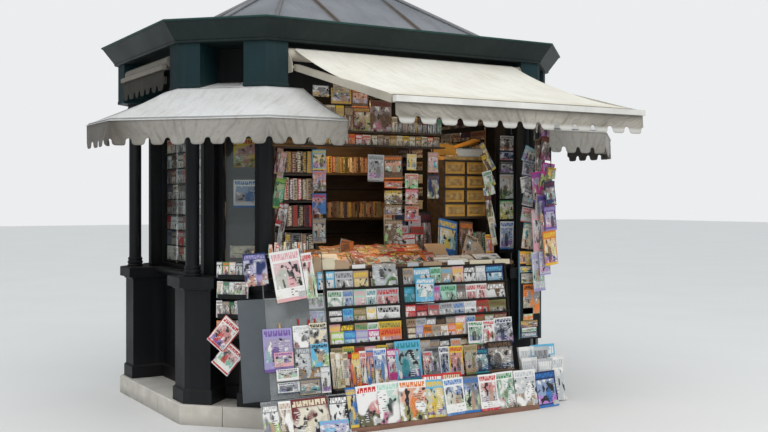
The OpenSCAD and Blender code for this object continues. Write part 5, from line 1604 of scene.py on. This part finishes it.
# Wire stand at the left: magazines clipped on its top bar, some before the clear sheet, and
# more on the rack's side that show through it.
random.seed(26)
shelve("stand_covers", [on_stand(*cover) for cover in (
    ("navy-lilac", -1.396, -1.226, 1.025, 1.25, 0.014, -3),
    ("white-pink", -1.170, -0.940, 0.91, 1.265, 0.017, -7),
    ("white-red", -0.938, -0.855, 0.92, 1.245, 0.021, -6),
    ("lilac-purple", -1.296, -1.077, 0.43, 0.725, 0.013),
    ("pink-purple", -1.222, -1.078, 0.455, 0.56, 0.0175),
    ("white-silver", -1.066, -0.90, 0.578, 0.733, 0.013),
    ("cream-black", -0.942, -0.805, 0.58, 0.745, 0.0175),
    ("sky-black", -0.942, -0.805, 0.44, 0.60, 0.022),
    ("grey-silver", -1.063, -0.875, 0.365, 0.58, 0.013, 1),
    ("white-grey", -1.213, -1.045, 0.36, 0.445, 0.0175),
    ("white-navy", -1.210, -1.045, 0.28, 0.352, 0.0175),
    ("grey-tan", -1.040, -0.880, 0.255, 0.355, 0.013),
    ("silver-white", -0.875, -0.802, 0.255, 0.435, 0.0175))])
behind = []
for z, words in ((0.962, "silver-grey"), (0.823, "silver-grey white-green"),
                 (0.70, "lilac-grey silver-blue"), (0.563, "pink-white cream-red")):
    y = -1.262 + RACK_SLOPE * (z - RACK_FOOT)
    behind += line_up(comic, words, -0.885, -0.765, y, z, 0.115, 0.004, 8)
shelve("covers_behind_sheet", behind)

# Narrow slips of card hang side by side on the stand's top bar. Spring pegs of wood and of red
# plastic clip the slips and the covers on its bars.
random.seed(27)
peg = block("peg", (-0.005, -0.006, -0.022), (0.005, 0.006, 0.022))
pick(peg)
bpy.ops.mesh.subdivide(number_cuts=2)
pick(peg, lambda p: abs(p.z) > 0.02 and abs(p.y) < 0.003)
bpy.ops.transform.resize(value=(1, 1, 0.72), center_override=(0, 0, 0))
pick(peg, lambda p: p.z > 0.01)
bpy.ops.transform.resize(value=(1, 1.5, 1), center_override=(0, 0, 0.01))
hush()
peg_wood = wood("peg_wood", (0.62, 0.42, 0.22), (0.40, 0.25, 0.12), 0.6)
red_plastic = paint("red_plastic", (0.50, 0.02, 0.02), 0.3, 0.3)


def place_peg(x, z, material, depth):
    """A peg on the stand's slope, turned a little to one side."""
    turn = Euler((-STAND_SLOPE, math.radians(random.uniform(-9, 9)), 0)).to_matrix().to_4x4()
    piece = copy_of(peg, Matrix.Translation(on_slope(x, z, depth)) @ turn)
    piece.data.materials.append(material)
    return piece


slips = []
for k, words in enumerate((
        "teal-white", "orange-white", "white-orange", "red-white", "grey-tan", "cream-yellow",
        "white-tan", "navy-grey", "cream-olive", "white-silver", "orange-cream", "silver-tan",
        "red-white")):
    x = -1.215 + 0.0225 * k
    slips.append(on_stand(words, x, x + 0.018, 1.20 + random.uniform(0, 0.02),
                          1.325 - random.uniform(0, 0.02), 0.006 + 0.004 * (k % 2),
                          random.uniform(-9, 9)))
pegs = [place_peg(x, 1.245, peg_wood, 0.004) for x in (-1.325, -1.20, -1.08, -0.99, -0.93)]
pegs.append(place_peg(-1.165, 0.74, peg_wood, 0.014))
red_pegs = [place_peg(x, z, red_plastic, 0.014)
            for x, z in ((-1.02, 0.76), (-0.94, 0.75), (-0.89, 0.755))]
shelve("stand_slips", slips)
shelve("wooden_pegs", pegs)
shelve("red_pegs", red_pegs)

# Magazines of folded paper stand loose behind the lip of the low easel and lean on its back.
# A small one stands in front of the others.
random.seed(28)
covers = []
for words, left, right, height, roll in (
        ("grey-white", -1.428, -1.318, 0.27, 0), ("white-tan", -1.313, -1.225, 0.28, 1),
        ("maroon-cream", -1.220, -0.945, 0.285, -1), ("black-white", -0.94, -0.80, 0.28, 1)):
    covers.append(stand_up(comic, words, left, right, -1.700, 0.007, 0.006, height, 19, roll))
covers.append(lay(comic, (0.22, 0.006, 0.12), (-0.93, -1.712, 0.007), "sky-lilac", 17, 2))
shelve("easel_magazines", covers)

# Small cards on the ledges of the corner rack, and two red-edged folders that lean askew in
# front of the lower ones.
random.seed(29)
covers = []
for k in range(1, 5):
    z = 0.505 + 0.138 * k
    covers += rank(comic, assorted(5, "white silver grey black green tan white brown orange"),
                   (-1.490, -0.984, z), (-1.322, -1.152, z), 0.120, 0.004, 3, (0.1, 1.0))
for x, y, z, height in ((-1.513, -1.009, 0.583, 0.224), (-1.487, -1.028, 0.422, 0.20)):
    covers.append(lay(comic, (0.152, 0.006, height), (x, y, z), "red-white", 2, 39, -45))
    covers.append(lay(comic, (0.140, 0.002, height - 0.012),
                      (x - 0.0015, y - 0.0085, z + 0.007), "white-red", 2, 39, -45))
shelve("corner_rack_cards", covers)

for master in (magazine, comic, book, box, channel, peg):
    bpy.data.objects.remove(master)

# Warm tube lamps, screwed under the soffit behind the frieze and over the rear shelves. Their
# covers are of milky plastic, and they light the stock inside.
material, tree, shader = finish("lamp_glow", Base_Color=(0.9, 0.8, 0.6, 1), Roughness=0.3,
                                Emission_Color=(1, 0.72, 0.38, 1), Emission_Strength=1.2)
tubes = []
for y, z, half in ((-0.62, 2.70, 0.42), (0.40, 2.70, 0.5)):
    tube = block("tube", (-half, y - 0.013, z - 0.026), (half, y + 0.013, z), material)
    pick(tube)
    bpy.ops.mesh.bevel(offset=0.009, segments=3)
    hush()
    tubes.append(tube)
shelve("lamp_tubes", tubes)
WARM = (1.0, 0.62, 0.28)
WARM_LIGHT = 8
lamp("counter_glow", WARM_LIGHT, (0, -0.62, 2.38), (0, -0.85, 1.2), (0.9, 0.1), WARM)
lamp("shelf_glow", WARM_LIGHT, (0, 0.25, 2.38), (0, 0.9, 1.3), (1.2, 0.1), WARM)
